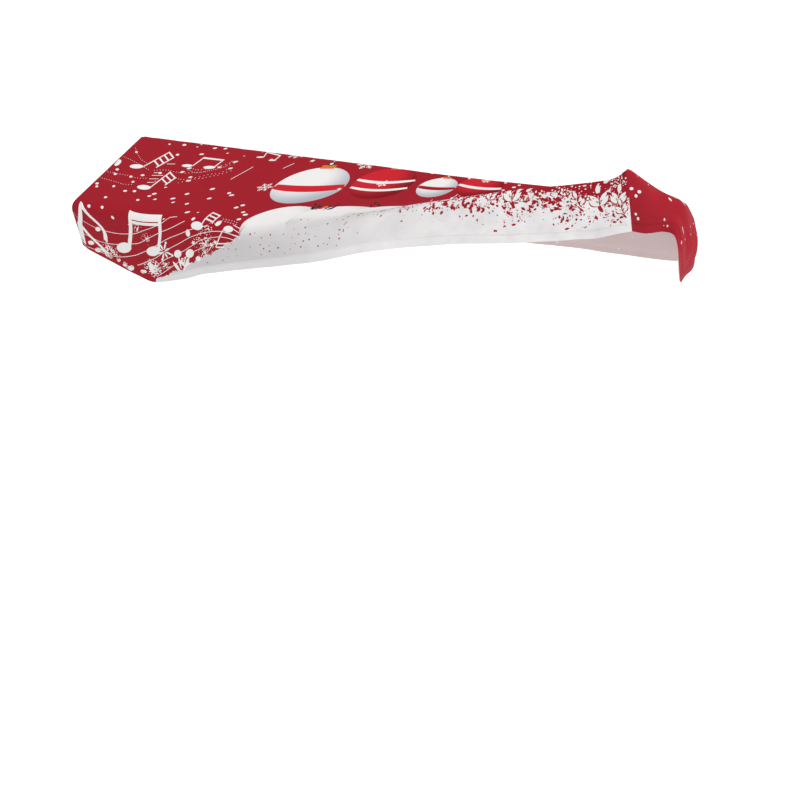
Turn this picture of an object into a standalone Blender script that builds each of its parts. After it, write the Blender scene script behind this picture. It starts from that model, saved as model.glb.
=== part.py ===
"""Fitted stretch cover for a keyboard instrument, its right front corner pushed back and up.

The cover is three panels of stretch knit: one long panel that makes the front skirt, the top
and the back skirt in one piece, and a small panel sewn to it at each end. It hangs as it does
over the instrument, which is not part of the model.

Frame: +X runs along the cover, +Y from its front to its back, +Z up. The origin is the middle
of the top's underside, where the instrument carries the cover.
"""
import math

import bpy
from mathutils import Vector

MM = 0.001

# Driving sizes, in millimetres
LENGTH = 1262.0
DEPTH = 288.0
CLOTH = 2.0
SEAM_GAP = 0.34
END_ROUND = 14.0
BACK_ROUND = 12.0

# How many faces each stretch of the sheet has
SKIRT_FACES = 8
FOLD_FACES = 4
TOP_FACES = 14
LENGTH_FACES = 44
END_TURNS = (45, 60, 75)
FINE_STEPS = 200
SHARP_ANGLE = 50

LEFT_END = -LENGTH / 2
FRONT = -DEPTH / 2
BACK = DEPTH / 2

# The long panel, a row for each section across it, from the left end's seam to the right one.
# The front edge and the back edge have an x of their own, because the front is drawn in to the
# left where it is pushed back. hem is the lower edge of the front skirt, fold the corner where
# skirt and top meet before it is rounded by fold_r, and mid the middle of the top.
PANEL_COLUMNS = (
    "front_x", "hem_y", "hem_z", "fold_y", "fold_z", "fold_r", "mid_y", "mid_z",
    "back_x", "back_y", "back_z", "back_hem_y", "back_hem_z",
)
PANEL_ROWS = (
    (LEFT_END, FRONT + 2, -104, FRONT, 1, 24, 0, 1, LEFT_END - 6, BACK, 1, BACK + 1, -140),
    (-607, FRONT + 2, -122, FRONT, 1, 24, 0, 1, -611, BACK, 1, BACK + 3, -141),
    (-577, FRONT + 1, -137, FRONT, 1, 24, 0, 1, -579, BACK, 1, BACK + 4, -141),
    (-506, FRONT - 1, -163, FRONT, 1, 26, 0, 1, -503, BACK, 1, BACK + 1, -144),
    (-466, FRONT - 2, -173, FRONT, 1, 28, 0, 1, -461, BACK, 1, BACK + 5, -142),
    (-376, FRONT - 1, -147, FRONT + 1, 1, 30, 0, 1, -366, BACK, 1, BACK + 2, -146),
    (-318, FRONT, -124, FRONT + 3, 2, 34, 2, 1, -304, BACK, 1, BACK + 6, -143),
    (-182, FRONT + 1, -85, FRONT + 8, 5, 36, 6, 1, -158, BACK, 1, BACK + 2, -147),
    (-41, FRONT + 2, -44, FRONT + 24, 24, 40, 10, 1, -8, BACK, 1, BACK + 6, -143),
    (47, FRONT + 22, -22, FRONT + 46, 44, 40, 16, 2, 87, BACK, 1, BACK + 2, -146),
    (110, -94, -20, -72, 60, 40, 24, 4, 156, BACK, 1, BACK + 5, -143),
    (214, -54, -20, -38, 78, 36, 44, 6, 269, BACK, 1, BACK + 2, -145),
    (323, -24, -20, -10, 95, 32, 62, 16, 389, BACK, 1, BACK + 5, -142),
    (420, 8, -18, 8, 108, 28, 76, 22, 493, BACK, 1, BACK + 3, -140),
    (462, 18, -15, 16, 113, 24, 80, 30, 540, BACK, 1, BACK + 2, -138),
    (500, 28, -5, 21, 121, 18, 82, 42, 590, BACK - 3, 2, BACK, -134),
    (527, 31, 3, 22, 140, 14, 82, 63, 626, BACK - 12, 5, BACK - 2, -122),
)

# Near the right seam the fold and the back edge lean to the left of their hems
LEAN_START = 430.0
PEAK_LEAN = 14.0
BACK_LEAN = 20.0

# Near the left seam the front hem spreads outwards
LEFT_SPREAD = 6.0
SPREAD_REACH = 60.0

# An end panel, a row for each fold line down it, from one side seam to the other. share is the
# line's place along the top of the seam, and below it come three points, each an x, a y and a z.
END_COLUMNS = ("share", "upper", "lower", "hem")
RIGHT_END_ROWS = (
    (0.16, (541, 36, 88), (548, 32, 40), (553, 31, 3)),
    (0.34, (568, 54, 62), (580, 44, 30), (583, 42, 3)),
    (0.50, (592, 68, 49), (604, 54, 20), (604, 34, 0)),
    (0.64, (606, 84, 37), (617, 60, -12), (616, 8, -30)),
    (0.76, (614, 96, 12), (624, 74, -40), (620, 24, -89)),
    (0.87, (620, 110, -14), (627, 100, -62), (622, 66, -106)),
    (0.95, (622, 124, -28), (629, 122, -75), (627, 118, -126)),
)
LEFT_END_ROWS = (
    (0.15, (LEFT_END - 2, 95, -48), (LEFT_END - 4, 97, -95), (LEFT_END - 7, 98, -139)),
    (0.35, (LEFT_END, 42, -46), (LEFT_END - 1, 43, -92), (LEFT_END, 44, -136)),
    (0.62, (LEFT_END + 2, -35, -46), (LEFT_END + 1, -34, -90), (LEFT_END - 2, -34, -130)),
    (0.85, (LEFT_END + 2, -98, -45), (LEFT_END, -100, -86), (LEFT_END - 3, -103, -120)),
)


def remove_everything():
    for thing in list(bpy.data.objects):
        bpy.data.objects.remove(thing, do_unlink=True)


def curve_value(keys, values, at):
    """Value at a place on a smooth curve through the given values."""
    last = len(keys) - 1
    i = 0
    while i < last - 1 and at > keys[i + 1]:
        i += 1
    span = keys[i + 1] - keys[i]
    t = (at - keys[i]) / span

    def slope(k):
        a, b = max(k - 1, 0), min(k + 1, last)
        return (values[b] - values[a]) / (keys[b] - keys[a])

    p, q = values[i], values[i + 1]
    m, n = slope(i) * span, slope(i + 1) * span
    return (
        p * (2 * t ** 3 - 3 * t ** 2 + 1)
        + m * (t ** 3 - 2 * t ** 2 + t)
        + q * (3 * t ** 2 - 2 * t ** 3)
        + n * (t ** 3 - t ** 2)
    )


def chord_keys(points):
    keys = [0.0]
    for a, b in zip(points, points[1:]):
        keys.append(keys[-1] + (b - a).length)
    return keys


def spaced(points, count):
    """The same number of steps of even length along a smooth curve through the points."""
    keys = chord_keys(points)
    fine = [curve_value(keys, points, keys[-1] * i / FINE_STEPS) for i in range(FINE_STEPS + 1)]
    lengths = chord_keys(fine)
    result = []
    for step in range(count + 1):
        goal = lengths[-1] * step / count
        i = 0
        while i < FINE_STEPS - 1 and lengths[i + 1] < goal:
            i += 1
        part = (goal - lengths[i]) / max(lengths[i + 1] - lengths[i], 1e-9)
        result.append(fine[i].lerp(fine[i + 1], part))
    return result


def panel_section(front_x):
    """Points across the long panel, from its front hem over the top to its back hem."""
    keys = [row[0] for row in PANEL_ROWS]
    v = {
        name: curve_value(keys, column, front_x)
        for name, column in zip(PANEL_COLUMNS, zip(*PANEL_ROWS))
    }
    lean = max(front_x - LEAN_START, 0) / (PANEL_ROWS[-1][0] - LEAN_START)
    fold_x = front_x - PEAK_LEAN * lean ** 2
    back_x = v["back_x"] - BACK_LEAN * lean ** 2
    spread = LEFT_SPREAD * max(1 - (front_x - LEFT_END) / SPREAD_REACH, 0) ** 2
    hem = Vector((front_x - spread, v["hem_y"], v["hem_z"]))
    fold = Vector((fold_x, v["fold_y"], v["fold_z"]))
    mid = Vector(((fold_x + back_x) / 2, v["mid_y"], v["mid_z"]))
    back = Vector((back_x, v["back_y"], v["back_z"]))
    back_hem = Vector((v["back_x"], v["back_hem_y"], v["back_hem_z"]))
    down = (hem - fold).normalized()
    over = (mid - fold).normalized()
    skirt_top = fold + down * v["fold_r"]
    top_start = fold + over * v["fold_r"]
    inward = (mid - back).normalized()
    top_end = back + inward * BACK_ROUND
    back_top = back + (back_hem - back).normalized() * BACK_ROUND

    points = [hem.lerp(skirt_top, i / SKIRT_FACES) for i in range(SKIRT_FACES)]
    for i in range(FOLD_FACES):
        t = i / FOLD_FACES
        points.append(skirt_top * (1 - t) ** 2 + fold * (2 * t * (1 - t)) + top_start * t ** 2)
    points += spaced([top_start, mid, top_end], TOP_FACES)
    points.append((top_end + back_top) / 4 + back / 2)
    points += [back_top.lerp(back_hem, i / SKIRT_FACES) for i in range(SKIRT_FACES + 1)]
    return points


def drawn_in(points, amount):
    """A section pulled inwards by an amount, square to its own run."""
    result = []
    for i, point in enumerate(points):
        along = points[min(i + 1, len(points) - 1)] - points[max(i - 1, 0)]
        inward = Vector((0, along.z, -along.y)).normalized()
        result.append(point + inward * amount)
    return result


def long_panel_grid():
    start, end = PANEL_ROWS[0][0], PANEL_ROWS[-1][0]
    grid = []
    for turn in END_TURNS:
        out = END_ROUND * (1 - math.cos(math.radians(turn)))
        fall = END_ROUND * (1 - math.sin(math.radians(turn)))
        grid.append([p + Vector((out, 0, 0)) for p in drawn_in(panel_section(start), fall)])
    run = end - start - END_ROUND
    for i in range(LENGTH_FACES + 1):
        grid.append(panel_section(start + END_ROUND + run * i / LENGTH_FACES))
    return grid


def end_panel_grid(seam, rows):
    """A patch inside the seam's three sides, along the fold lines of a table."""
    front = list(reversed(seam[: SKIRT_FACES + 1]))
    back = seam[-SKIRT_FACES - 1:]
    top = seam[SKIRT_FACES: len(seam) - SKIRT_FACES]
    across = len(top) - 1
    top_keys = [i / across for i in range(across + 1)]
    folds = [dict(zip(END_COLUMNS, row)) for row in rows]
    keys = [0.0] + [fold["share"] for fold in folds] + [1.0]
    lines = []
    for j in range(SKIRT_FACES + 1):
        through = [front[j]]
        for fold in folds:
            points = [curve_value(top_keys, top, fold["share"])]
            points += [Vector(fold[name]) for name in END_COLUMNS[1:]]
            through.append(curve_value([0, 1 / 3, 2 / 3, 1], points, j / SKIRT_FACES))
        through.append(back[j])
        lines.append([curve_value(keys, through, key) for key in top_keys])
    lines[0] = list(top)
    return lines


def grid_normals(grid):
    """A direction square to the sheet at each point, from the faces that meet there."""
    rows, columns = len(grid), len(grid[0])
    normals = [[Vector((0, 0, 0)) for _ in range(columns)] for _ in range(rows)]
    for j in range(rows - 1):
        for i in range(columns - 1):
            near, far = grid[j][i], grid[j + 1][i + 1]
            below, beside = grid[j + 1][i], grid[j][i + 1]
            square = (below - beside).cross(far - near).normalized()
            for corner in ((j, i), (j + 1, i), (j, i + 1), (j + 1, i + 1)):
                normals[corner[0]][corner[1]] += square
    return [[normal.normalized() for normal in line] for line in normals]


def rim(grid):
    """Places in a grid along its seam: down one side, along the first row, up the other."""
    rows, columns = len(grid), len(grid[0])
    places = [(j, 0) for j in range(rows - 1, 0, -1)]
    places += [(0, i) for i in range(columns)]
    places += [(j, columns - 1) for j in range(1, rows)]
    return places


def sew(panel, panel_normals, row, end, end_normals, mirrored):
    """Shares the seam's directions between two panels and parts them by the seam gap."""
    inner_row = 1 if row == 0 else row - 1
    places = rim(end)
    for k, (j, i) in enumerate(places):
        c = len(places) - 1 - k if mirrored else k
        shared = (panel_normals[row][c] + end_normals[j][i]).normalized()
        panel_normals[row][c] = shared
        end_normals[j][i] = shared
        panel_in = (panel[inner_row][c] - panel[row][c]).normalized()
        end_in = Vector((0, 0, 0))
        if j == 0:
            end_in += end[1][i] - end[0][i]
        if i == 0:
            end_in += end[j][1] - end[j][0]
        if i == len(end[0]) - 1:
            end_in += end[j][-2] - end[j][-1]
        panel[row][c] = panel[row][c] + panel_in * SEAM_GAP / 2
        end[j][i] = end[j][i] + end_in.normalized() * SEAM_GAP / 2


def cloth_solid(name, grid, normals, material):
    """A closed sheet of the cloth's thickness around a grid of points."""
    rows, columns = len(grid), len(grid[0])
    points = []
    for side in (0.5, -0.5):
        for j in range(rows):
            for i in range(columns):
                points.append((grid[j][i] + normals[j][i] * (CLOTH * side)) * MM)
    layer = rows * columns

    def at(j, i, side):
        return j * columns + i + side * layer

    faces = []
    for j in range(rows - 1):
        for i in range(columns - 1):
            faces.append((at(j, i, 0), at(j + 1, i, 0), at(j + 1, i + 1, 0), at(j, i + 1, 0)))
            faces.append((at(j, i, 1), at(j, i + 1, 1), at(j + 1, i + 1, 1), at(j + 1, i, 1)))
    for j in range(rows - 1):
        faces.append((at(j + 1, 0, 0), at(j, 0, 0), at(j, 0, 1), at(j + 1, 0, 1)))
        last = columns - 1
        faces.append((at(j, last, 0), at(j + 1, last, 0), at(j + 1, last, 1), at(j, last, 1)))
    for i in range(columns - 1):
        faces.append((at(0, i, 0), at(0, i + 1, 0), at(0, i + 1, 1), at(0, i, 1)))
        last = rows - 1
        faces.append((at(last, i + 1, 0), at(last, i, 0), at(last, i, 1), at(last, i + 1, 1)))

    mesh = bpy.data.meshes.new(name)
    mesh.from_pydata(points, [], faces)
    mesh.validate()
    mesh.shade_smooth()
    mesh.set_sharp_from_angle(angle=math.radians(SHARP_ANGLE))
    thing = bpy.data.objects.new(name, mesh)
    thing.data.materials.append(material)
    bpy.context.scene.collection.objects.link(thing)
    return thing


def knit_material(name, colour):
    material = bpy.data.materials.new(name)
    material.use_nodes = True
    surface = material.node_tree.nodes["Principled BSDF"]
    surface.inputs["Base Color"].default_value = (*colour, 1.0)
    surface.inputs["Roughness"].default_value = 0.85
    surface.inputs["Metallic"].default_value = 0.0
    return material


def main():
    remove_everything()
    printed = knit_material("printed_stretch_knit", (0.42, 0.02, 0.03))
    plain = knit_material("red_stretch_knit", (0.40, 0.02, 0.03))

    panel = long_panel_grid()
    left = end_panel_grid(list(reversed(panel[0])), LEFT_END_ROWS)
    right = end_panel_grid(panel[-1], RIGHT_END_ROWS)
    panel_normals = grid_normals(panel)
    left_normals = grid_normals(left)
    right_normals = grid_normals(right)
    sew(panel, panel_normals, 0, left, left_normals, True)
    sew(panel, panel_normals, len(panel) - 1, right, right_normals, False)

    cloth_solid("long_panel", panel, panel_normals, printed)
    cloth_solid("left_end_panel", left, left_normals, plain)
    cloth_solid("right_end_panel", right, right_normals, plain)


main()
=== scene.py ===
"""Looks of a fitted knit cover: the printed cloth, its hems and seams, and a plain studio.

The cloth is cut flat, in millimetres along the cover and up from its hem. The print's outlines
are cut into it as edges, and it is then laid on the surface in which the cover hangs.
"""

import math
from functools import partial

import bpy
import numpy as np
from mathutils import Matrix, Vector
from mathutils.geometry import delaunay_2d_cdt
from mathutils.kdtree import KDTree


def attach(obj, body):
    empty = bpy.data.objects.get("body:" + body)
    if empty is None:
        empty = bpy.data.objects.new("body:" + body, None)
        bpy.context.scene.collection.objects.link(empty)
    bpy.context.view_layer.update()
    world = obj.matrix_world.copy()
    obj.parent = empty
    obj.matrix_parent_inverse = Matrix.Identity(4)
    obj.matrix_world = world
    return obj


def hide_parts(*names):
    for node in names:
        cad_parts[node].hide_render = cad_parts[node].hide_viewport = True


bl_info = {
    "name": "Fitted Knit Cover",
    "version": (1, 0, 0),
    "blender": (4, 5, 0),
    "location": "View3D > Sidebar > Knit Cover",
    "description": "Makes the printed knit panels of a fitted cover, their stitches and a studio",
    "category": "Object",
}

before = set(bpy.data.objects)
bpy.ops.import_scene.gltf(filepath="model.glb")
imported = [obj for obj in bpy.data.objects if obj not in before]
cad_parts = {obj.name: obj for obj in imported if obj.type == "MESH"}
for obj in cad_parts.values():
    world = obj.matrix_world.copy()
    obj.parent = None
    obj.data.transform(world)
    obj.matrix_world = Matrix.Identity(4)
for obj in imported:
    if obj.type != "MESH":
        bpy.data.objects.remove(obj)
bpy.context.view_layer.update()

MM = 0.001

# The hanging form, in millimetres, as in the part's source
LENGTH = 1262.0
DEPTH = 288.0
END_ROUND = 14.0
BACK_ROUND = 12.0
LEFT_END = -LENGTH / 2
FRONT = -DEPTH / 2
BACK = DEPTH / 2
LEAN_START = 430.0
PEAK_LEAN = 14.0
BACK_LEAN = 20.0
LEFT_SPREAD = 13.0
SPREAD_REACH = 60.0

# A fold dies away between these shares of its length, counted from each end
FOLD_ENDS = (-0.25, 0.3)

# Each row is a section across the long panel, from the left end's seam to the right one. At the
# left end the hem flares a few millimetres more than in the part's source, as cloth does
PANEL_COLUMNS = (
    "front_x", "hem_y", "hem_z", "fold_y", "fold_z", "fold_r", "mid_y", "mid_z",
    "back_x", "back_y", "back_z", "back_hem_y", "back_hem_z",
)
PANEL_ROWS = (
    (LEFT_END, FRONT + 2, -109, FRONT, 1, 24, 0, 1, LEFT_END - 6, BACK, 1, BACK + 1, -140),
    (-607, FRONT + 2, -122, FRONT, 1, 24, 0, 1, -611, BACK, 1, BACK + 3, -141),
    (-577, FRONT + 1, -137, FRONT, 1, 24, 0, 1, -579, BACK, 1, BACK + 4, -141),
    (-506, FRONT - 1, -163, FRONT, 1, 26, 0, 1, -503, BACK, 1, BACK + 1, -144),
    (-466, FRONT - 2, -173, FRONT, 1, 28, 0, 1, -461, BACK, 1, BACK + 5, -142),
    (-376, FRONT - 1, -147, FRONT + 1, 1, 30, 0, 1, -366, BACK, 1, BACK + 2, -146),
    (-318, FRONT, -124, FRONT + 3, 2, 34, 2, 1, -304, BACK, 1, BACK + 6, -143),
    (-182, FRONT + 1, -85, FRONT + 8, 5, 36, 6, 1, -158, BACK, 1, BACK + 2, -147),
    (-41, FRONT + 2, -44, FRONT + 24, 24, 40, 10, 1, -8, BACK, 1, BACK + 6, -143),
    (47, FRONT + 22, -22, FRONT + 46, 44, 40, 16, 2, 87, BACK, 1, BACK + 2, -146),
    (110, -94, -20, -72, 60, 40, 24, 4, 156, BACK, 1, BACK + 5, -143),
    (214, -54, -20, -38, 78, 36, 44, 6, 269, BACK, 1, BACK + 2, -145),
    (323, -24, -20, -10, 95, 32, 62, 16, 389, BACK, 1, BACK + 5, -142),
    (420, 8, -18, 8, 108, 28, 76, 22, 493, BACK, 1, BACK + 3, -140),
    (462, 18, -15, 16, 113, 24, 80, 30, 540, BACK, 1, BACK + 2, -138),
    (500, 28, -5, 21, 121, 18, 82, 42, 590, BACK - 3, 2, BACK, -134),
    (527, 31, 3, 22, 140, 14, 82, 63, 626, BACK - 12, 5, BACK - 2, -122),
)

# Each row is a fold line down an end panel: its share of the seam's top and three points below
END_COLUMNS = ("share", "upper", "lower", "hem")
RIGHT_END_ROWS = (
    (0.16, (541, 36, 88), (548, 32, 40), (553, 31, 3)),
    (0.34, (568, 54, 62), (580, 44, 30), (583, 42, 3)),
    (0.50, (592, 68, 49), (604, 54, 20), (604, 34, 0)),
    (0.64, (606, 84, 37), (617, 60, -12), (616, 8, -30)),
    (0.76, (614, 96, 12), (624, 74, -40), (620, 24, -89)),
    (0.87, (620, 110, -14), (627, 100, -62), (622, 66, -106)),
    (0.95, (622, 124, -28), (629, 122, -75), (627, 118, -126)),
)
LEFT_END_ROWS = (
    (0.15, (LEFT_END - 2, 95, -48), (LEFT_END - 4, 97, -95), (LEFT_END - 7, 98, -139)),
    (0.35, (LEFT_END, 42, -46), (LEFT_END - 1, 43, -92), (LEFT_END, 44, -136)),
    (0.62, (LEFT_END + 2, -35, -46), (LEFT_END + 1, -34, -90), (LEFT_END - 2, -34, -130)),
    (0.85, (LEFT_END + 2, -98, -45), (LEFT_END, -100, -86), (LEFT_END - 3, -103, -120)),
)

# How finely the surface is worked out before the cloth is laid on it
STATION_STEP = 3.0
RISE_STEP = 1.0
SKIRT_STEPS = 24
FOLD_STEPS = 12
TOP_STEPS = 24
END_TURNS = (45, 50, 55, 60, 65, 70, 75, 80, 85)


def unit(vectors):
    return vectors / np.maximum(np.linalg.norm(vectors, axis=-1, keepdims=True), 1e-9)


def hermite(start, end, start_slope, end_slope, t):
    return (
        start * (2 * t ** 3 - 3 * t ** 2 + 1)
        + start_slope * (t ** 3 - 2 * t ** 2 + t)
        + end * (3 * t ** 2 - 2 * t ** 3)
        + end_slope * (t ** 3 - t ** 2)
    )


def curve(keys, values, at):
    """Values at some places on a smooth curve through the given ones."""
    keys, values, at = (np.asarray(x, float) for x in (keys, values, at))
    last = len(keys) - 1
    i = np.clip(np.searchsorted(keys, at) - 1, 0, last - 1)
    before, after = np.maximum(np.arange(last + 1) - 1, 0), np.minimum(np.arange(last + 1) + 1, last)
    runs = keys[after] - keys[before]
    span = keys[i + 1] - keys[i]
    t = (at - keys[i]) / span
    if values.ndim > 1:
        runs, span, t = runs[:, None], span[..., None], t[..., None]
    slopes = (values[after] - values[before]) / runs
    return hermite(values[i], values[i + 1], slopes[i] * span, slopes[i + 1] * span, t)


def straight(start, end, steps):
    t = np.linspace(0, 1, steps + 1)[None, :, None]
    return start[:, None] * (1 - t) + end[:, None] * t


def rounded(start, corner, end, steps):
    t = np.linspace(0, 1, steps + 1)[None, :, None]
    start, corner, end = start[:, None], corner[:, None], end[:, None]
    return start * (1 - t) ** 2 + corner * (2 * t * (1 - t)) + end * t ** 2


def swept(start, middle, end, steps):
    near = np.linalg.norm(middle - start, axis=1)[:, None, None]
    far = np.linalg.norm(end - middle, axis=1)[:, None, None]
    start, middle, end = start[:, None], middle[:, None], end[:, None]
    through = (end - start) / (near + far)
    t = np.linspace(0, 1, steps + 1)[None, :, None]
    first = hermite(start, middle, middle - start, through * near, t)
    second = hermite(middle, end, through * far, end - middle, t)
    return np.concatenate([first, second[:, 1:]], axis=1)


def panel_sections(front_x):
    """Points across the long panel at each place along its front, from hem to back hem."""
    table = dict(zip(PANEL_COLUMNS, np.array(PANEL_ROWS, float).T))
    v = {name: curve(table["front_x"], column, front_x) for name, column in table.items()}
    lean = np.maximum(front_x - LEAN_START, 0) / (PANEL_ROWS[-1][0] - LEAN_START)
    fold_x = front_x - PEAK_LEAN * lean ** 2
    back_x = v["back_x"] - BACK_LEAN * lean ** 2
    spread = LEFT_SPREAD * np.maximum(1 - (front_x - LEFT_END) / SPREAD_REACH, 0) ** 2
    hem = np.stack([front_x - spread, v["hem_y"], v["hem_z"]], axis=1)
    fold = np.stack([fold_x, v["fold_y"], v["fold_z"]], axis=1)
    mid = np.stack([(fold_x + back_x) / 2, v["mid_y"], v["mid_z"]], axis=1)
    back = np.stack([back_x, v["back_y"], v["back_z"]], axis=1)
    back_hem = np.stack([v["back_x"], v["back_hem_y"], v["back_hem_z"]], axis=1)
    fold_r = v["fold_r"][:, None]
    skirt_top = fold + unit(hem - fold) * fold_r
    top_start = fold + unit(mid - fold) * fold_r
    top_end = back + unit(mid - back) * BACK_ROUND
    back_top = back + unit(back_hem - back) * BACK_ROUND
    stretches = (
        straight(hem, skirt_top, SKIRT_STEPS),
        rounded(skirt_top, fold, top_start, FOLD_STEPS),
        swept(top_start, mid, top_end, TOP_STEPS),
        rounded(top_end, back, back_top, FOLD_STEPS),
        straight(back_top, back_hem, SKIRT_STEPS),
    )
    return np.concatenate([stretches[0]] + [s[:, 1:] for s in stretches[1:]], axis=1)


def drawn_in(section, amount):
    """A section pulled inwards by an amount, square to its own run."""
    run = np.gradient(section, axis=0)
    inward = unit(np.stack([np.zeros(len(run)), run[:, 2], -run[:, 1]], axis=1))
    return section + inward * amount


def long_panel_grid():
    start, end = PANEL_ROWS[0][0], PANEL_ROWS[-1][0]
    first = panel_sections(np.array([start]))[0]
    turned = []
    for turn in END_TURNS:
        out = END_ROUND * (1 - math.cos(math.radians(turn)))
        fall = END_ROUND * (1 - math.sin(math.radians(turn)))
        turned.append(drawn_in(first, fall) + (out, 0, 0))
    stations = round((end - start - END_ROUND) / STATION_STEP)
    rest = panel_sections(np.linspace(start + END_ROUND, end, stations + 1))
    return np.concatenate([np.array(turned), rest])


def end_panel_grid(seam, rows):
    """A patch inside the seam's three sides, each of its lines running up from the hem."""
    front = seam[: SKIRT_STEPS + 1][::-1]
    back = seam[-SKIRT_STEPS - 1:]
    top = seam[SKIRT_STEPS: len(seam) - SKIRT_STEPS]
    places = np.linspace(0, 1, len(top))
    folds = [dict(zip(END_COLUMNS, row)) for row in rows]
    keys = [0.0] + [fold["share"] for fold in folds] + [1.0]
    lines = [top]
    for j in range(1, SKIRT_STEPS + 1):
        through = [front[j]]
        for fold in folds:
            points = [curve(places, top, fold["share"])] + [fold[n] for n in END_COLUMNS[1:]]
            through.append(curve([0, 1 / 3, 2 / 3, 1], points, j / SKIRT_STEPS))
        through.append(back[j])
        lines.append(curve(keys, through, places))
    return np.array(lines[::-1]).transpose(1, 0, 2)


class Surface:
    """The middle of a hanging sheet, found from a place along it and a rise from its hem."""

    def __init__(self, grid, relief):
        steps = np.linalg.norm(np.diff(grid, axis=0), axis=2).mean(axis=1)
        self.along = np.concatenate([[0], np.cumsum(steps)])
        self.length = self.along[-1]
        runs = np.linalg.norm(np.diff(grid, axis=1), axis=2)
        rises = np.concatenate([np.zeros((len(grid), 1)), np.cumsum(runs, axis=1)], axis=1)
        self.rises = rises[:, -1]
        count = round(self.rises.max() / RISE_STEP) + 1
        shares = np.linspace(0, 1, count)
        even = np.empty((len(grid), count, 3))
        for i, line in enumerate(grid):
            for axis in range(3):
                even[i, :, axis] = np.interp(shares * rises[i, -1], rises[i], line[:, axis])
        plain = self.square_to(even)
        u = np.repeat(self.along[:, None], count, axis=1)
        v = shares[None, :] * self.rises[:, None]
        top = np.repeat(self.rises[:, None], count, axis=1)
        self.points = even + plain * relief(u, v, self.length, top)[..., None]
        self.normals = self.square_to(self.points)

    @staticmethod
    def square_to(points):
        return unit(np.cross(np.gradient(points, axis=0), np.gradient(points, axis=1)))

    def rise_at(self, u):
        return np.interp(u, self.along, self.rises)

    def at(self, u, v):
        """Points of the surface and directions square to it."""
        i = np.clip(np.searchsorted(self.along, u) - 1, 0, len(self.along) - 2)
        s = np.clip((u - self.along[i]) / (self.along[i + 1] - self.along[i]), 0, 1)[:, None]
        rows = self.points.shape[1] - 1
        place = np.clip(v / self.rise_at(u), 0, 1) * rows
        j = np.clip(place.astype(int), 0, rows - 1)
        t = (place - j)[:, None]

        def blend(grid):
            near = grid[i, j] * (1 - t) + grid[i, j + 1] * t
            far = grid[i + 1, j] * (1 - t) + grid[i + 1, j + 1] * t
            return near * (1 - s) + far * s

        return blend(self.points), unit(blend(self.normals))


# Soft folds of the hanging cloth, in millimetres on the flat panel: each runs from one place to
# another, dies away at its ends, and stands proud of the sheet or sinks into it by its height
FOLD_COLUMNS = ("along", "rise", "end_along", "end_rise", "width", "height")
LONG_FOLDS = (
    (500, 70, 585, 98, 9, 1.6),
    (515, 58, 600, 84, 10, -1.2),
    (236, 318, 282, 236, 7, -2.2),
    (250, 322, 298, 240, 9, 1.2),
    (60, 182, 190, 190, 16, 1.2),
    (700, 250, 1040, 190, 22, 2.0),
    (640, 300, 1000, 238, 20, -1.8),
    (820, 340, 1120, 262, 24, 1.8),
    (1010, 176, 1150, 132, 12, 1.8),
    (1060, 230, 1180, 168, 14, -2.0),
    (930, 20, 1010, 92, 14, 1.2),
    (1075, 14, 1130, 84, 11, 1.6),
    (1100, 10, 1160, 70, 10, -1.4),
    (330, 8, 420, 52, 16, 1.2),
    (640, 6, 720, 60, 18, 1.0),
    (150, 30, 120, 140, 20, -1.2),
    (240, 20, 300, 110, 22, 1.0),
    (1000, 330, 1130, 400, 16, 1.6),
)
RIGHT_FOLDS = (
    (36, 22, 146, 112, 10, 2.6),
    (60, 14, 172, 96, 9, -2.4),
    (30, 48, 128, 128, 9, -1.6),
    (150, 12, 190, 96, 8, 2.8),
    (172, 10, 206, 92, 7, -2.4),
    (206, 16, 226, 84, 8, 2.6),
    (236, 12, 240, 92, 8, -2.0),
    (110, 8, 128, 52, 7, 2.0),
    (132, 66, 168, 38, 11, -3.4),
    (144, 88, 190, 62, 9, 2.2),
)
LEFT_FOLDS = (
    (40, 10, 60, 110, 14, 1.6),
    (120, 6, 110, 100, 16, -1.4),
    (200, 8, 214, 92, 14, 1.4),
)

# The doubled hem stands proud by a step, its stitches draw a groove into it, and the free cloth
# sways a little near it. The cloth sinks at a seam, and its folds fade out before it
HEM_HEIGHT = 20.0
HEM_STEP = 0.45
GROOVE_RISE = 17.6
GROOVE_DEEP = 0.3
GROOVE_WIDE = 0.9
SWAY = 0.7
SWAY_REACH = 90.0
SEAM_SINK = 0.7
SEAM_REACH = 3.0
SEAM_FADE = 14.0


def soft_step(low, high, values):
    t = np.clip((values - low) / (high - low), 0, 1)
    return t * t * (3 - 2 * t)


def fold_relief(u, v, rows):
    """How far the folds of a table lift the sheet at each place."""
    lifted = np.zeros_like(u)
    for row in rows:
        fold = dict(zip(FOLD_COLUMNS, row))
        run_u, run_v = fold["end_along"] - fold["along"], fold["end_rise"] - fold["rise"]
        length = math.hypot(run_u, run_v)
        from_u, from_v = u - fold["along"], v - fold["rise"]
        share = (from_u * run_u + from_v * run_v) / length ** 2
        off = (from_u * run_v - from_v * run_u) / length
        ends = soft_step(*FOLD_ENDS, share) * soft_step(*FOLD_ENDS, 1 - share)
        lifted += fold["height"] * np.exp(-0.5 * (off / fold["width"]) ** 2) * ends
    return lifted


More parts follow.
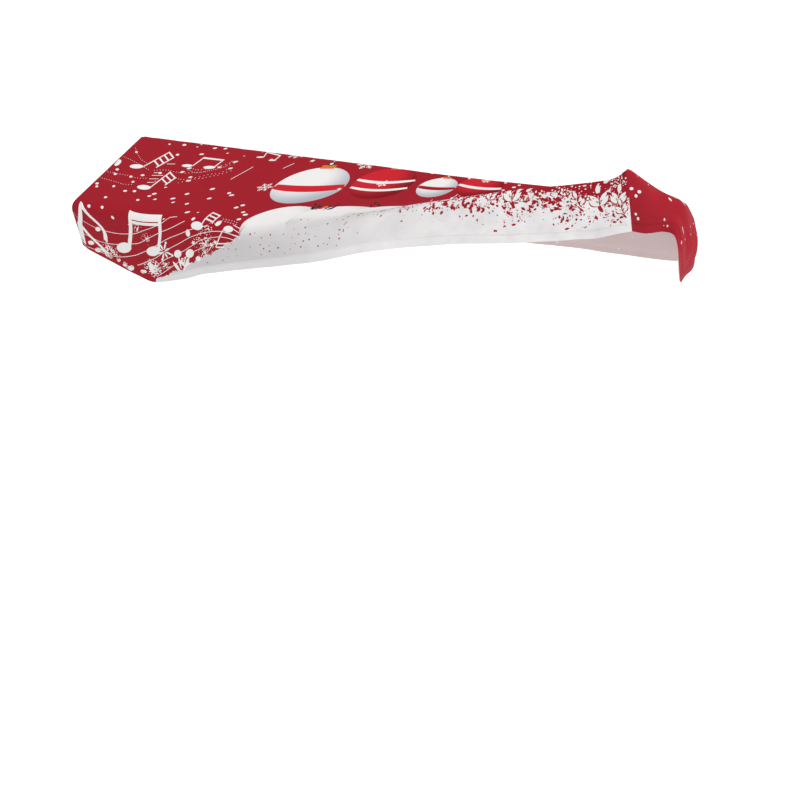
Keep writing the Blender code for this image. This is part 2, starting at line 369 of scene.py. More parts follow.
def relief(rows, strength, two_hems):
    """A function for all that stands proud of a panel's plain form or sinks into it."""
    def lift(u, v, length, top):
        side = np.minimum(u, length - u)
        free = soft_step(0, SEAM_FADE, side)
        if not two_hems:
            free = free * soft_step(0, SEAM_FADE, top - v)
            side = np.minimum(side, top - v)
        sway = np.sin(u / 31 + v / 90) * np.sin(u / 47 + 2) + 0.5 * np.sin(u / 13 + v / 40)
        near_hem = np.minimum(v, top - v) if two_hems else v
        hang = SWAY * sway * soft_step(SWAY_REACH, 0, near_hem)
        lifted = free * (fold_relief(u, v, rows) * strength + hang)
        hems = HEM_STEP * soft_step(HEM_HEIGHT + 1, HEM_HEIGHT - 0.5, near_hem)
        groove = GROOVE_DEEP * np.exp(-0.5 * ((near_hem - GROOVE_RISE) / GROOVE_WIDE) ** 2)
        return lifted + hems - groove - SEAM_SINK * soft_step(SEAM_REACH, 0, side)
    return lift


# The inks of the print, as they look in even white light
INKS = {
    "white": "#F4F2F0",
    "snow": "#EDEDEF",
    "shade": "#B4B7C0",
    "ground": "#A51A29",
    "red": "#A01622",
    "bright_red": "#CF2230",
    "deep_red": "#7E0F1A",
    "orange": "#DE7A2C",
    "dark": "#2E2B30",
    "grey": "#9A9CA3",
}


def linear(text):
    """An sRGB hex colour in linear light."""
    parts = [int(text[i: i + 2], 16) / 255 for i in (1, 3, 5)]
    return tuple(c / 12.92 if c <= 0.04045 else ((c + 0.055) / 1.055) ** 2.4 for c in parts)


def turned(points, turn):
    c, s = math.cos(math.radians(turn)), math.sin(math.radians(turn))
    return np.asarray(points, float) @ np.array([[c, s], [-s, c]])


def disc(x, y, across, up=None, turn=0, ink="white", edge=None):
    """An oval of ink. With an edge ink it shades towards that from its upper left."""
    count = int(np.clip(across * 3, 8, 64))
    angles = np.arange(count) * math.tau / count
    points = np.stack([across * np.cos(angles), (up or across) * np.sin(angles)], axis=1)
    return {"outline": turned(points, turn) + (x, y), "ink": ink, "edge": edge}


def skewed_oval(x, y, right, rise):
    """An oval given by where its right end and its upper end lie from its middle."""
    angles = np.arange(40)[:, None] * math.tau / 40
    outline = np.cos(angles) * np.array(right) + np.sin(angles) * np.array(rise) + (x, y)
    return {"outline": outline, "ink": "white", "edge": None}


def bar(start, end, width, ink="white"):
    start, end = np.array(start, float), np.array(end, float)
    run = (end - start) / np.linalg.norm(end - start)
    side = np.array([-run[1], run[0]]) / 2 * width
    outline = [start + side, start - side, end - side, end + side]
    return {"outline": np.array(outline), "ink": ink, "edge": None}


def ribbon(points, widths, ink="white"):
    """A strip of ink along some points, with a width at each of them."""
    points = np.asarray(points, float)
    run = unit(np.gradient(points, axis=0))
    side = np.stack([-run[:, 1], run[:, 0]], axis=1) * (np.asarray(widths) / 2)[:, None]
    outline = np.concatenate([points + side, (points - side)[::-1]])
    return {"outline": outline, "ink": ink, "edge": None}


def bow(start, end, sag):
    """Nine points on a curve between two places that bends to its left by sag."""
    start, end = np.array(start, float), np.array(end, float)
    t = np.linspace(0, 1, 9)[:, None]
    run = end - start
    side = np.array([-run[1], run[0]]) / np.linalg.norm(run)
    return start + run * t + side * (4 * sag * t * (1 - t))


def run_along(points):
    """How far along a line each of its points lies."""
    return np.concatenate([[0], np.cumsum(np.linalg.norm(np.diff(points, axis=0), axis=1))])


def dotted(points, step, size):
    """Small dots along a smooth line through some points."""
    run = run_along(points)
    return [disc(x, y, size) for x, y in curve(run, points, np.arange(0, run[-1], step))]


def lined(points, width):
    """A smooth line of one width through some points."""
    run = run_along(points)
    places = np.linspace(0, run[-1], round(run[-1] / 8) + 1)
    return ribbon(curve(run, points, places), np.full(len(places), width))


def leaf(start, end, width, sag=0.0, ink="white"):
    points = bow(start, end, sag)
    t = np.linspace(0, 1, len(points))
    return ribbon(points, width * np.sin(math.pi * np.clip(t, 0.02, 0.98)) ** 0.8, ink)


def beamed_notes(width, height, stem, beams):
    """Two stems joined by beams, each beam a drop from the top and a thickness."""
    shapes = [bar((x, 0), (x, height), stem) for x in (0, width)]
    for drop, thick in beams:
        y = height - drop - thick / 2
        shapes.append(bar((-stem / 2, y), (width + stem / 2, y), thick))
    return shapes


def laddered_note(width, height, rungs, line, low):
    """One stem with a short rail beside its upper part and rungs between them."""
    shapes = [bar((0, 0), (0, height), line), bar((width, height * (low - 0.1)), (width, height), line)]
    for y in np.linspace(height * low, height, rungs):
        shapes.append(bar((-line / 2, y), (width + line / 2, y), line * 1.25))
    return shapes


def snowflake(radius, wide):
    """Six arms, each with two pairs of twigs."""
    shapes = []
    for turn in range(0, 360, 60):
        shapes.append(bar((0, 0), turned((radius, 0), turn), wide))
        for place, reach in ((0.45, 0.34), (0.72, 0.22)):
            for side in (-1, 1):
                start = turned((radius * place, 0), turn)
                end = start + turned((radius * reach, 0), turn + side * 55)
                shapes.append(bar(start, end, wide * 0.8))
    return shapes


def burst(radius):
    """A loose flower of eight slim petals, every second one with a round end."""
    shapes = []
    for k in range(8):
        reach = radius * (1 if k % 2 else 0.82)
        tip = turned((reach, 0), 45 * k + 12)
        shapes.append(leaf(tip * 0.16, tip, radius * 0.2, 0.6))
        if k % 2:
            shapes.append(disc(*tip, radius * 0.13))
    return shapes


def star(radius):
    corners = [turned((0, radius * (0.42 if k % 2 else 1)), 36 * k) for k in range(10)]
    return [{"outline": np.array(corners), "ink": "white", "edge": None}]


def leaf_sprig(length, pairs, size, ink, grown=0.0):
    """A stem with leaves in pairs and one at its tip, which may be grown as a rim for another."""
    spine = bow((0, 0), (0, length), 2)
    shapes = [ribbon(spine, np.linspace(1.8, 0.9, len(spine)) + grown, ink)]
    for k in range(pairs):
        y = length * (0.22 + 0.66 * k / pairs)
        reach = size * (1 - 0.12 * k)
        for side in (-1, 1):
            tip = (side * reach * 0.78, y + reach * 0.7)
            shapes.append(leaf((side * 0.8, y), tip, reach * 0.42 + grown, side * -1.2, ink))
    shapes.append(leaf((0, length - 3), (0, length + size * 0.8), size * 0.42 + grown, 0, ink))
    return shapes


def berry_sprig(length):
    """A stem whose six twigs end in round berries, with two leaves at its foot."""
    shapes = [ribbon(bow((0, 0), (0, length), 2), np.linspace(2.4, 1.4, 9))]
    for k in range(6):
        y = length * (0.25 + 0.1 * k)
        side = 1 if k % 2 else -1
        tip = (side * length * 0.34, y + length * 0.22)
        shapes.append(bar((0, y), tip, 1.5))
        shapes.append(disc(*tip, length * 0.085))
    shapes.append(disc(0, length, length * 0.1))
    for side in (-1, 1):
        shapes.append(leaf((0, 4), (side * 15, 15), 7, side * 2))
    return shapes


def stipple(radius, seed, dense, speck):
    """A round cloud of small specks, thinning outwards."""
    rng = np.random.default_rng(seed)
    shapes = []
    for _ in range(int(radius * dense)):
        share = rng.random()
        x, y = turned((radius * share ** 0.8, 0), rng.random() * 360)
        size = speck * (0.7 + 0.9 * rng.random()) * (1.5 - share)
        shapes.append(disc(x, y, size, size * 0.75, rng.random() * 180))
    return shapes


def bauble(radius, ink, edge, bands, band_ink):
    """A round hanging ornament with a cap, a loop and curved bands."""
    shapes = [disc(0, 0, radius, ink=ink, edge=edge)]
    for low, high in bands:
        level = np.linspace(-1, 1, 15)
        half = math.sqrt(1 - ((low + high) / 2) ** 2) * 0.985
        middle = (low + high) / 2 - 0.16 * (1 - level ** 2)
        taper = np.sqrt(np.clip(1 - level ** 2, 0.02, 1)) * 0.35 + 0.65
        points = np.stack([level * half, middle], axis=1) * radius
        shapes.append(ribbon(points, (high - low) * radius * taper, band_ink))
    cap = radius * 0.2
    shapes.append(bar((-cap, radius * 1.02), (cap, radius * 1.02), radius * 0.2, ink="orange"))
    shapes.append(disc(0, radius * 1.2, radius * 0.1, ink="dark"))
    shapes.append(disc(0, radius * 1.2, radius * 0.055, ink="white"))
    return shapes


def drift(half, height):
    """A heap of snow with a rounded back, fading into what lies under its foot."""
    return [{**disc(0, 0, half, height, edge="shade"), "fade": (-0.35, 0.25)}]


def placed(shapes, u, v, turn=0.0, size=1.0):
    """Shapes moved to a place on the cloth, turned and sized."""
    return [{**s, "outline": turned(s["outline"] * size, turn) + (u, v)} for s in shapes]


# Longest straight edge of a motif before it is stretched to its place
FITTED_STEP = 9.0


def denser(outline, step):
    """An outline with points added along its longer edges."""
    points = []
    for start, end in zip(outline, np.roll(outline, -1, axis=0)):
        count = max(math.ceil(np.linalg.norm(end - start) / step), 1)
        points += [start + (end - start) * k / count for k in range(count)]
    return np.array(points)


def fitted(make, sizes, rows):
    """Shapes drawn in an upright box, stretched between rows of a share up and its two sides."""
    width, height = sizes[:2]
    shares, left, right = ([row[k] for row in rows] for k in range(3))
    moved = []
    for shape in make(*sizes):
        outline = denser(shape["outline"], FITTED_STEP)
        x, y = outline[:, :1] / width, outline[:, 1] / height
        sides = curve(shares, left, y) * (1 - x) + curve(shares, right, y) * x
        moved.append({**shape, "outline": sides})
    return moved


# How far along the cloth the print begins. The print's places are measured from there
PRINT_START = 8.0

# The snowbank's upper edge, as places along the cover and their rises from the front hem
BANK_ALONG = (-10, 160, 173, 306, 391, 426, 442, 485, 610, 700, 800, 900, 1000, 1060, 1110, 1160, 1210)
BANK_RISE = (-60, -16, 8, 36, 64, 80, 100, 112, 116, 112, 104, 98, 96, 94, 88, 76, 70)

# Above the crest the cloth falls away from the front, so the print is drawn taller there, in full
# between the two middle places along the cover
CREST = 104.0
TALLER = 3.2
TALLER_ALONG = (640, 820, 1000, 1130)

# The thin lines of the music, each as places along the cover and their rises
STAVES = (
    ((-7, 90), (5, 85), (20, 85), (41, 85), (76, 92), (114, 104), (150, 122), (179, 132), (210, 137),
     (238, 142), (253, 149), (269, 147)),
    ((-7, 43), (20, 45), (46, 48), (78, 60), (112, 76), (146, 95), (180, 110), (220, 121), (255, 126),
     (291, 131)),
    ((-2, 6), (19, 11), (52, 17), (85, 30), (127, 54), (157, 76), (187, 87), (210, 95), (247, 105),
     (292, 109), (346, 110)),
    ((130, 31), (161, 53), (191, 63), (223, 76), (253, 84), (286, 91), (305, 94), (343, 97), (381, 93),
     (408, 83), (431, 74)),
    ((196, 48), (213, 55), (247, 62), (298, 73), (328, 82), (373, 83), (394, 78), (414, 70)),
    ((180, 16), (214, 30), (238, 39), (274, 52), (303, 59), (330, 64), (358, 68), (385, 66), (400, 64)),
    ((407, 102), (432, 88)),
    ((404, 97), (433, 78)),
    ((405, 84), (428, 73)),
)

# Dotted lines, short bars by their two ends, and oval dots on the top
DOTTED_ROWS = (
    ((14, 344), (56, 324), (78, 321)),
    ((9, 303), (43, 308), (79, 306), (105, 305)),
    ((2, 237), (58, 260), (91, 267), (116, 279)),
    ((4, 213), (48, 228), (79, 234), (100, 246)),
    ((114, 310), (148, 328), (188, 321), (241, 326), (263, 338), (269, 364)),
    ((169, 310), (203, 294), (241, 308), (268, 311), (278, 328)),
    ((190, 334), (214, 322), (250, 330), (284, 352)),
    ((186, 346), (214, 332), (246, 339), (276, 360)),
    ((198, 282), (230, 296), (262, 300), (290, 318)),
    ((377, 121), (400, 113), (418, 104)),
    ((377, 116), (399, 108), (416, 100)),
    ((980, 128), (1040, 134), (1080, 120), (1112, 108)),
    ((972, 121), (1034, 127), (1074, 114), (1106, 103)),
    ((964, 114), (1028, 120), (1068, 107), (1100, 98)),
)
SHORT_BARS = (
    (121, 293, 147, 307), (123, 280, 144, 292), (127, 268, 142, 277), (119, 303, 132, 310),
    (128, 344, 147, 354), (306, 278, 327, 326), (394, 315, 407, 335),
)
TOP_DOTS = (
    (122, 422), (200, 425), (225, 420), (184, 400), (130, 384), (27, 336), (25, 261), (32, 247),
    (75, 263), (99, 282), (134, 310), (93, 252), (12, 195), (19, 188), (59, 215), (97, 218),
    (119, 229), (164, 230), (170, 239), (68, 176), (148, 210), (222, 218), (243, 233),
    (265, 192), (288, 243), (302, 204), (333, 221), (343, 212), (380, 162), (79, 150),
    (189, 341), (281, 328), (212, 303), (216, 288), (182, 326), (254, 338), (277, 356),
    (44, 135), (108, 142), (285, 156), (389, 170), (405, 143), (415, 133), (411, 117),
    (309, 131), (736, 282), (759, 268), (718, 262), (803, 281), (856, 300), (930, 322),
)

# How the oval dots turn, by their place along
DOT_TURNS = ((0, 140, 180, 330, 1200), (32, 27, 0, -4, -10))

# Round spots on the hanging front, each with its radius, and how they are skewed to look round
SKIRT_DISCS = (
    (53, 85, 7.5), (18, 27, 7.5), (30, 16, 8), (109, 13, 9), (140, 20, 6), (146, 23, 5), (80, 18, 5),
    (92, 12, 4), (371, 111, 6), (431, 74, 6), (256, 64, 10), (288, 57, 11), (306, 39, 7),
)
DISC_SKEWS = ((110, 187, 322), (0.48, -0.05, -0.2))

# Note heads, each with its place and the steps to its right and upper ends
NOTE_HEADS = (
    (109, 66, 21, 10, 5, 16), (190, 80, 19, -1, 5, 12), (322, 114, 14, -3, -2, 9),
    (398, 95, 11, -1, -3, 7), (63, 298, 16, 9, -5, 6), (131, 251, 16, 8, -6, 6),
    (178, 352, 12, 0, -3, 6), (232, 340, 13, -1, -4, 7), (321, 367, 8, 0, -2, 3),
    (354, 351, 8, 0, -2, 3),
)

# The stem and flags of the note at the left end
FLAGGED_STEM = ((21, 130), (20, 108), (8, 71), (3, 42), (0, 12))
FLAGS = (
    ((22, 126), (48, 111), (65, 98), (69, 85), (63, 60)),
    ((8, 68), (21, 49), (33, 39), (43, 30), (50, 16)),
)

# Other notes: how each is made, its own sizes, and rows of a share up and its two sides there
BEAMED_NOTE = (beamed_notes, (74, 100, 8, ((0, 21), (24, 8))),
               ((0, (126, 78), (204, 78)), (0.6, (152, 144), (229, 130)), (1, (155, 176), (229, 160))))
SMALL_NOTES = (
    (laddered_note, (20, 32, 3, 2.6, 0.42), ((0, (333, 114), (353, 104)), (1, (342, 145), (364, 132)))),
    (laddered_note, (26, 77, 4, 3.4, 0.42), ((0, (80, 307), (104, 297)), (1, (105, 381), (128, 370)))),
    (laddered_note, (24, 66, 3, 3.2, 0.6), ((0, (146, 258), (168, 244)), (1, (155, 323), (180, 302)))),
    (beamed_notes, (52, 36, 3.4, ((0, 6),)), ((0, (191, 351), (242, 340)), (1, (198, 387), (247, 371)))),
    (beamed_notes, (34, 22, 2.6, ((0, 4),)), ((0, (328, 367), (359, 350)), (1, (325, 389), (361, 372)))),
)

# Dots taller than wide, bars that lean, small stars, and the leaves of the plant at the front
TALL_DOTS = ((299, 104, 5.5, 8), (9, 278, 8, 12))
LEANING_BARS = (((387, 96), (361, 60), 2.6), ((367, 68), (394, 65), 3), ((361, 60), (383, 58), 3))
SMALL_STARS = ((306, 79), (352, 67), (363, 72))
FRONT_LEAVES = (
    ((253, 26), (256, 60), 5), ((256, 18), (284, 52), 5.5), ((248, 20), (236, 48), 9),
)

# Clouds of specks, each with its radius, how dense it is and the size of its specks
SPECK_CLOUDS = (
    (167, 139, 14, 2.4, 1.0), (184, 112, 16, 2.2, 1.0), (68, 38, 24, 4.6, 1.3), (50, 20, 14, 5.0, 1.6),
    (173, 37, 24, 6.0, 1.9), (333, 73, 28, 4.2, 1.2), (330, 50, 20, 3.0, 1.0), (350, 104, 16, 2.0, 1.0),
    (212, 42, 18, 2.6, 1.1), (96, 14, 9, 4.0, 1.4),
)


def scattered(rng, count, low, high, apart, clear=()):
    """Seeded places in a range, none near another or inside the ovals to keep clear."""
    places = []
    for _ in range(count * 30):
        spot = np.array(low) + rng.random(2) * (np.array(high) - np.array(low))
        if any(np.hypot(*(spot - other)) < apart for other in places):
            continue
        if any(math.hypot((spot[0] - u) / across, (spot[1] - v) / up) < 1 for u, v, across, up in clear):
            continue
        places.append(spot)
        if len(places) == count:
            break
    return places


def bank_at(u):
    return curve(BANK_ALONG, BANK_RISE, u)


def height_share(u):
    start, full, last, end = TALLER_ALONG
    return 1 + (TALLER - 1) * soft_step(start, full, u) * soft_step(end, last, u)


def print_rise(u, v):
    """Where a rise on the cloth lies in the print, which is drawn taller above the crest."""
    return np.where(v < CREST, v, CREST + (v - CREST) / height_share(u))


def raised(shapes):
    """Shapes drawn in the print, moved to where they lie on the cloth."""
    moved = []
    for shape in shapes:
        u, v = shape["outline"].T
        v = np.where(v < CREST, v, CREST + (v - CREST) * height_share(u))
        moved.append({**shape, "outline": np.stack([u, v], axis=1)})
    return moved


def skirt_disc(u, v, radius):
    """A spot that looks round where it hangs."""
    tilt = np.interp(u, *DISC_SKEWS)
    return skewed_oval(u, v, (radius, radius * tilt), (0.3 * radius, radius * 0.92))


def music_print():
    """Notes, thin lines, dots, clouds of specks and a few plants on the red ground."""
    shapes = [lined(line, 1.3) for line in STAVES]
    for line in DOTTED_ROWS:
        shapes += dotted(line, 7.5, 1.0)
    shapes += [bar(row[:2], row[2:], 1.8) for row in SHORT_BARS]
    shapes += [lined(line, 9) for line in (FLAGGED_STEM, *FLAGS)]
    shapes += fitted(*BEAMED_NOTE)
    shapes += [skewed_oval(u, v, (a, b), (c, d)) for u, v, a, b, c, d in NOTE_HEADS]
    shapes += [disc(*spot) for spot in TALL_DOTS]
    for note in SMALL_NOTES:
        shapes += fitted(*note)
    shapes += [bar(*row) for row in LEANING_BARS]
    shapes += placed(burst(23), 220, 76)
    for u, v, radius, dense, speck in SPECK_CLOUDS:
        shapes += placed(stipple(radius, u, dense, speck), u, v)
    for u, v in SMALL_STARS:
        shapes += placed(star(6.5), u, v, 8)
    shapes += [leaf(*row) for row in FRONT_LEAVES]
    shapes += placed(berry_sprig(26), 262, 26, -24)
    shapes += [skirt_disc(*spot) for spot in SKIRT_DISCS]
    for k, (u, v) in enumerate(TOP_DOTS):
        across, up = 5.2 - 0.6 * (k % 3), 3.6 - 0.4 * (k % 2)
        shapes.append(disc(u, v, across, up, np.interp(u, *DOT_TURNS)))
    return shapes


# The picture's ornaments: place, top of the loop, radius, ink, edge ink, bands and their ink
BAUBLES = (
    (486, 244, 326, 72, "white", "shade", ((-0.2, 0.14),), "bright_red"),
    (628, 256, 328, 60, "bright_red", "deep_red", ((-0.34, -0.2), (0.14, 0.3)), "white"),
    (742, 246, 296, 38, "white", "shade", ((-0.16, 0.14),), "red"),
    (822, 262, 316, 44, "bright_red", "deep_red", ((-0.1, 0.12),), "snow"),
)

# The rise of the place that their threads hang from
THREADS_FROM = 446

# Snowflakes on the ornaments and between them by place, turn and size, heaps of snow by place,
# half width and height, sprigs by place, turn and ink, berries by place, and stars by radius
BAUBLE_FLAKES = ((628, 256, 15, 0.8), (470, 272, 15, 0.9), (822, 286, 15, 0.6))
DRIFTS = ((506, 88, 82, 72), (614, 100, 92, 60), (716, 108, 84, 54), (806, 104, 74, 48))
FLAKES = (
    (560, 330, 8, 1.3), (692, 338, 20, 1.1), (396, 240, 0, 1.0), (782, 340, 12, 0.9), (884, 320, 4, 1.2),
    (398, 372, 20, 1.0),
)
DRIFT_SPRIGS = (
    (556, 142, 34, "dark"), (570, 140, -30, "dark"), (668, 150, 26, "dark"), (764, 150, -24, "deep_red"),
)
BERRIES = ((560, 150), (567, 155), (662, 160), (768, 158), (775, 153))
STARS = ((560, 374, 7), (440, 344, 6), (700, 372, 6), (850, 352, 7), (552, 232, 5))


def winter_picture():
    """A picture of hanging ornaments over heaps of snow."""
    shapes = []
    for u, _, top, *_ in BAUBLES:
        middle = (u + 3, (top + THREADS_FROM) / 2)
        shapes.append(lined([(u, top), middle, (u, THREADS_FROM)], 1.6))
    for u, v, _, *looks in BAUBLES:
        shapes += placed(bauble(*looks), u, v)
    for spot in BAUBLE_FLAKES:
        shapes += placed(snowflake(15, 2.2), *spot)
    for u, v, half, height in DRIFTS:
        shapes += placed(drift(half, height), u, v)
    for spot in FLAKES:
        shapes += placed(snowflake(16, 1.8), *spot)
    for u, v, turn, ink in DRIFT_SPRIGS:
        shapes += placed(leaf_sprig(26, 3, 13, ink), u, v, turn)
    for u, v in BERRIES:
        shapes.append(disc(u, v, 5, ink="orange" if u % 2 else "bright_red"))
    for u, v, radius in STARS:
        shapes += placed(star(radius), u, v)
    return shapes


# Sprigs on the snowbank: place along, rise of the foot, length, leaf length, turn
BANK_SPRIGS = (
    (1150, 62, 34, 24, 6), (1184, 60, 30, 22, -10), (1114, 70, 24, 16, 22), (1196, 40, 24, 16, 14),
    (988, 80, 30, 21, 4), (944, 86, 18, 12, -10), (890, 88, 18, 12, 12), (800, 94, 16, 11, 8),
)

# Patches where the snowbank is broken into specks: place along and rise, reach along and up,
# their number and size
BANK_PATCHES = (
    (868, 80, 12, 7, 30, 6), (826, 72, 12, 6, 16, 5), (918, 78, 14, 8, 22, 7), (1034, 84, 14, 8, 26, 6),
    (1074, 76, 13, 9, 26, 8), (1078, 44, 13, 9, 17, 4), (1104, 36, 13, 6, 12, 5), (1128, 44, 8, 6, 9, 5),
    (1174, 32, 9, 6, 10, 5), (1000, 54, 9, 9, 10, 5), (960, 40, 30, 8, 8, 3), (740, 92, 30, 8, 12, 5),
)

# Patches of white specks just above the snowbank's edge, by their middles
WHITE_PATCHES = ((868, 97), (1034, 97), (1070, 97))

# Flecks of the ground in the snowbank and small dots in the snow: how many at most, the low and
# high corners of their range, and how far apart
BANK_FLECKS = (220, (640, 40), (1205, 108), 6.5)
SNOW_DOTS = (60, (300, 24), (660, 100), 8.0)

# How far the red round a white sprig reaches
SPRIG_RIM = 5.0


def bank_print():
    """Leaves, sprigs and specks along the broken edge of the snowbank."""
    rng = np.random.default_rng(11)
    shapes = []
    for u, v, length, size, turn in BANK_SPRIGS:
        for grown, ink in ((SPRIG_RIM, "ground"), (0, "white")):
            shapes += placed(leaf_sprig(length, 2, size, ink, grown), u, v, turn)
        gap = turned((size * 0.9, 0), turn + 110)
        shapes.append(leaf((u + 6, v - 8), (u + 6, v - 8) + gap * 0.8, size * 0.3, 1.5, ink="ground"))
        shapes.append(leaf((u - 9, v - 12), (u - 9, v - 12) - gap * 0.5, size * 0.22, -1, ink="ground"))
    for u, v in scattered(rng, *BANK_FLECKS):
        high = max(v - 36, 0) / 72
        if rng.random() > 0.08 + high:
            continue
        size = 2.0 + (3.0 + 9.0 * high) * rng.random() ** 2
        end = turned((size, 0), rng.random() * 360)
        shapes.append(leaf((u, v), end + (u, v), size * 0.6, 0.5, ink="ground"))
    for u, v in scattered(rng, *SNOW_DOTS):
        if v < bank_at(u) - 2:
            ink = "red" if rng.random() < 0.7 else "grey"
            shapes.append(disc(u, v, 0.9 + 1.2 * rng.random(), ink=ink))
    for u, v, along, up, count, size in BANK_PATCHES:
        for spot in rng.normal((u, v), (along, up), (count, 2)):
            if spot[1] < HEM_HEIGHT + 2:
                continue
            long = 2 + 1.6 * size * rng.random() ** 2
            end = turned((long, 0), rng.random() * 360)
            shapes.append(leaf(spot, spot + end, 1.2 + long * 0.45, 0.5, ink="ground"))
    for middle in WHITE_PATCHES:
        for spot in rng.normal(middle, (13, 4), (14, 2)):
            shapes.append(disc(*spot, 1.2 + 1.6 * rng.random()))
    return raised(shapes)


# Ranges of loose dots: their low and high corners, how many there are and how far apart. The oval
# is kept clear for the picture, and a row of snowflakes starts at a rise on the back skirt
DOT_RANGES = (
    ((8, 130), (350, 438), 14, 26), ((350, 350), (1200, 440), 44, 24),
    ((860, 250), (1200, 350), 20, 26), ((10, 440), (1200, 508), 80, 26),
)
PICTURE_OVAL = (620, 240, 262, 120)
BACK_FLAKES = 456


def loose_dots():
    """Dots over the top and the back skirt, and a row of snowflakes on the back skirt."""
    rng = np.random.default_rng(5)
    shapes = []
    for low, high, count, apart in DOT_RANGES:
        for u, v in scattered(rng, count, low, high, apart, [PICTURE_OVAL]):
            size = 1.5 + 2.6 * rng.random() ** 2
            shapes.append(disc(u, v, size * 1.15, size * 0.8, 20 * rng.random()))
    for u in np.linspace(90, 1120, 8):
        place = (u + 30 * rng.random(), BACK_FLAKES + 30 * rng.random())
        shapes += placed(snowflake(13, 1.5), *place, 60 * rng.random())
    return shapes


# Dots and dotted lines along the back edge of the top, where they lie on the cloth
EDGE_DOTS = (
    (862, 284), (872, 258), (902, 266), (892, 280), (926, 270), (914, 250), (944, 262), (786, 288),
    (704, 300), (1110, 113), (1118, 114), (1122, 108), (1131, 114), (1150, 110), (1146, 115),
)
EDGE_LINES = (
    ((1067, 112), (1079, 108), (1091, 105), (1101, 102)), ((1061, 106), (1081, 101), (1093, 98)),
    ((1061, 98), (1070, 96), (1079, 93)),
)

# Where the ground cuts into the snow at the valley, and the specks on the raised corner
VALLEY_CUT = ((1030, 113), (1082, 110), 18)
CORNER_SPECKS = (30, (1172, 100), (1208, 121), 3.4)


def back_edge_print():
    """Fine dotted lines and specks along the back edge, up to the raised corner."""
    rng = np.random.default_rng(8)
    shapes = [leaf(*VALLEY_CUT, ink="ground")]
    for line in EDGE_LINES:
        shapes += dotted(line, 6.0, 1.5)
    for u, v in EDGE_DOTS:
        size = 3.2 if u < 1000 else 1.8
        shapes.append(disc(u, v, size, size * 0.75, -10))
    shapes.append(disc(1161, 118, 6, 4.5))
    for u, v in scattered(rng, *CORNER_SPECKS):
        shapes.append(disc(u, v, 0.9 + rng.random()))
    return shapes


def cover_print():
    shapes = loose_dots() + music_print() + winter_picture() + bank_print() + back_edge_print()
    return placed(shapes, PRINT_START, 0)


# Dots of the right end, each with its size and how tall it is for its width
RIGHT_DOTS = (
    (6, 92, 4.6, 1), (17, 84, 4.2, 1.2), (11, 76, 3.2, 1.6), (9, 39, 2.8, 1.5), (12, 30, 2.8, 1.8),
    (84, 62, 3.0, 1.7), (104, 104, 3.2, 1.3), (122, 110, 5.2, 0.9), (63, 25, 2.6, 1.5),
    (69, 12, 2.6, 1.2), (61, 13, 1.4, 1), (113, 45, 5.0, 0.8), (128, 52, 2.2, 1), (138, 62, 1.8, 1),
    (155, 100, 3.0, 0.6), (159, 88, 3.0, 0.6), (188, 103, 2.6, 0.7), (112, 18, 3.0, 1.4),
    (196, 52, 2.8, 0.7), (176, 30, 2.4, 0.8), (214, 74, 2.6, 0.8), (222, 28, 2.4, 0.8),
    (34, 118, 2.2, 1), (60, 96, 2.0, 1.2),
)

# The sizes above, from the photo's view, are larger than on the cloth
RIGHT_DOT_SCALE = 0.72


def right_end_print():
    return [disc(u, v, size * RIGHT_DOT_SCALE, size * tall * RIGHT_DOT_SCALE)
            for u, v, size, tall in RIGHT_DOTS]


def left_end_print():
    """Pairs of small oval dots."""
    rng = np.random.default_rng(22)
    shapes = []
    for u, v in scattered(rng, 26, (8, 8), (280, 150), 21):
        turn = 60 + 60 * rng.random()
        step = turned((5.2, 0), turn + 70)
        shapes.append(disc(u, v, 2.9, 1.7, turn))
        if rng.random() < 0.6:
            shapes.append(disc(u + step[0], v + step[1], 2.3, 1.4, turn))
    return shapes


# The sheet between its faces, how finely it is cut, the rows of points that keep the hem's edge
# sharp, and how far its other points stay off those rows, the rim and the print's outlines
CLOTH_THICK = 1.4
CUT_STEP = 6.0
RIM_STEP = 3.0
HEM_GUIDES = (17.0, 19.0, 20.5, 22.0)
CLEAR_OF_GUIDE = 2.0
CLEAR_OF_RIM = 1.5
CLEAR_OF_INK = 1.2


def inside(outline, points):
    """Which points lie inside an outline."""
    x, y = points[:, 0], points[:, 1]
    crossed = np.zeros(len(points), bool)
    for start, end in zip(outline, np.roll(outline, -1, axis=0)):
        spans = (start[1] > y) != (end[1] > y)
        if spans.any():
            reach = start[0] + (y - start[1]) * (end[0] - start[0]) / ((end[1] - start[1]) or 1)
            crossed ^= spans & (x < reach)
    return crossed


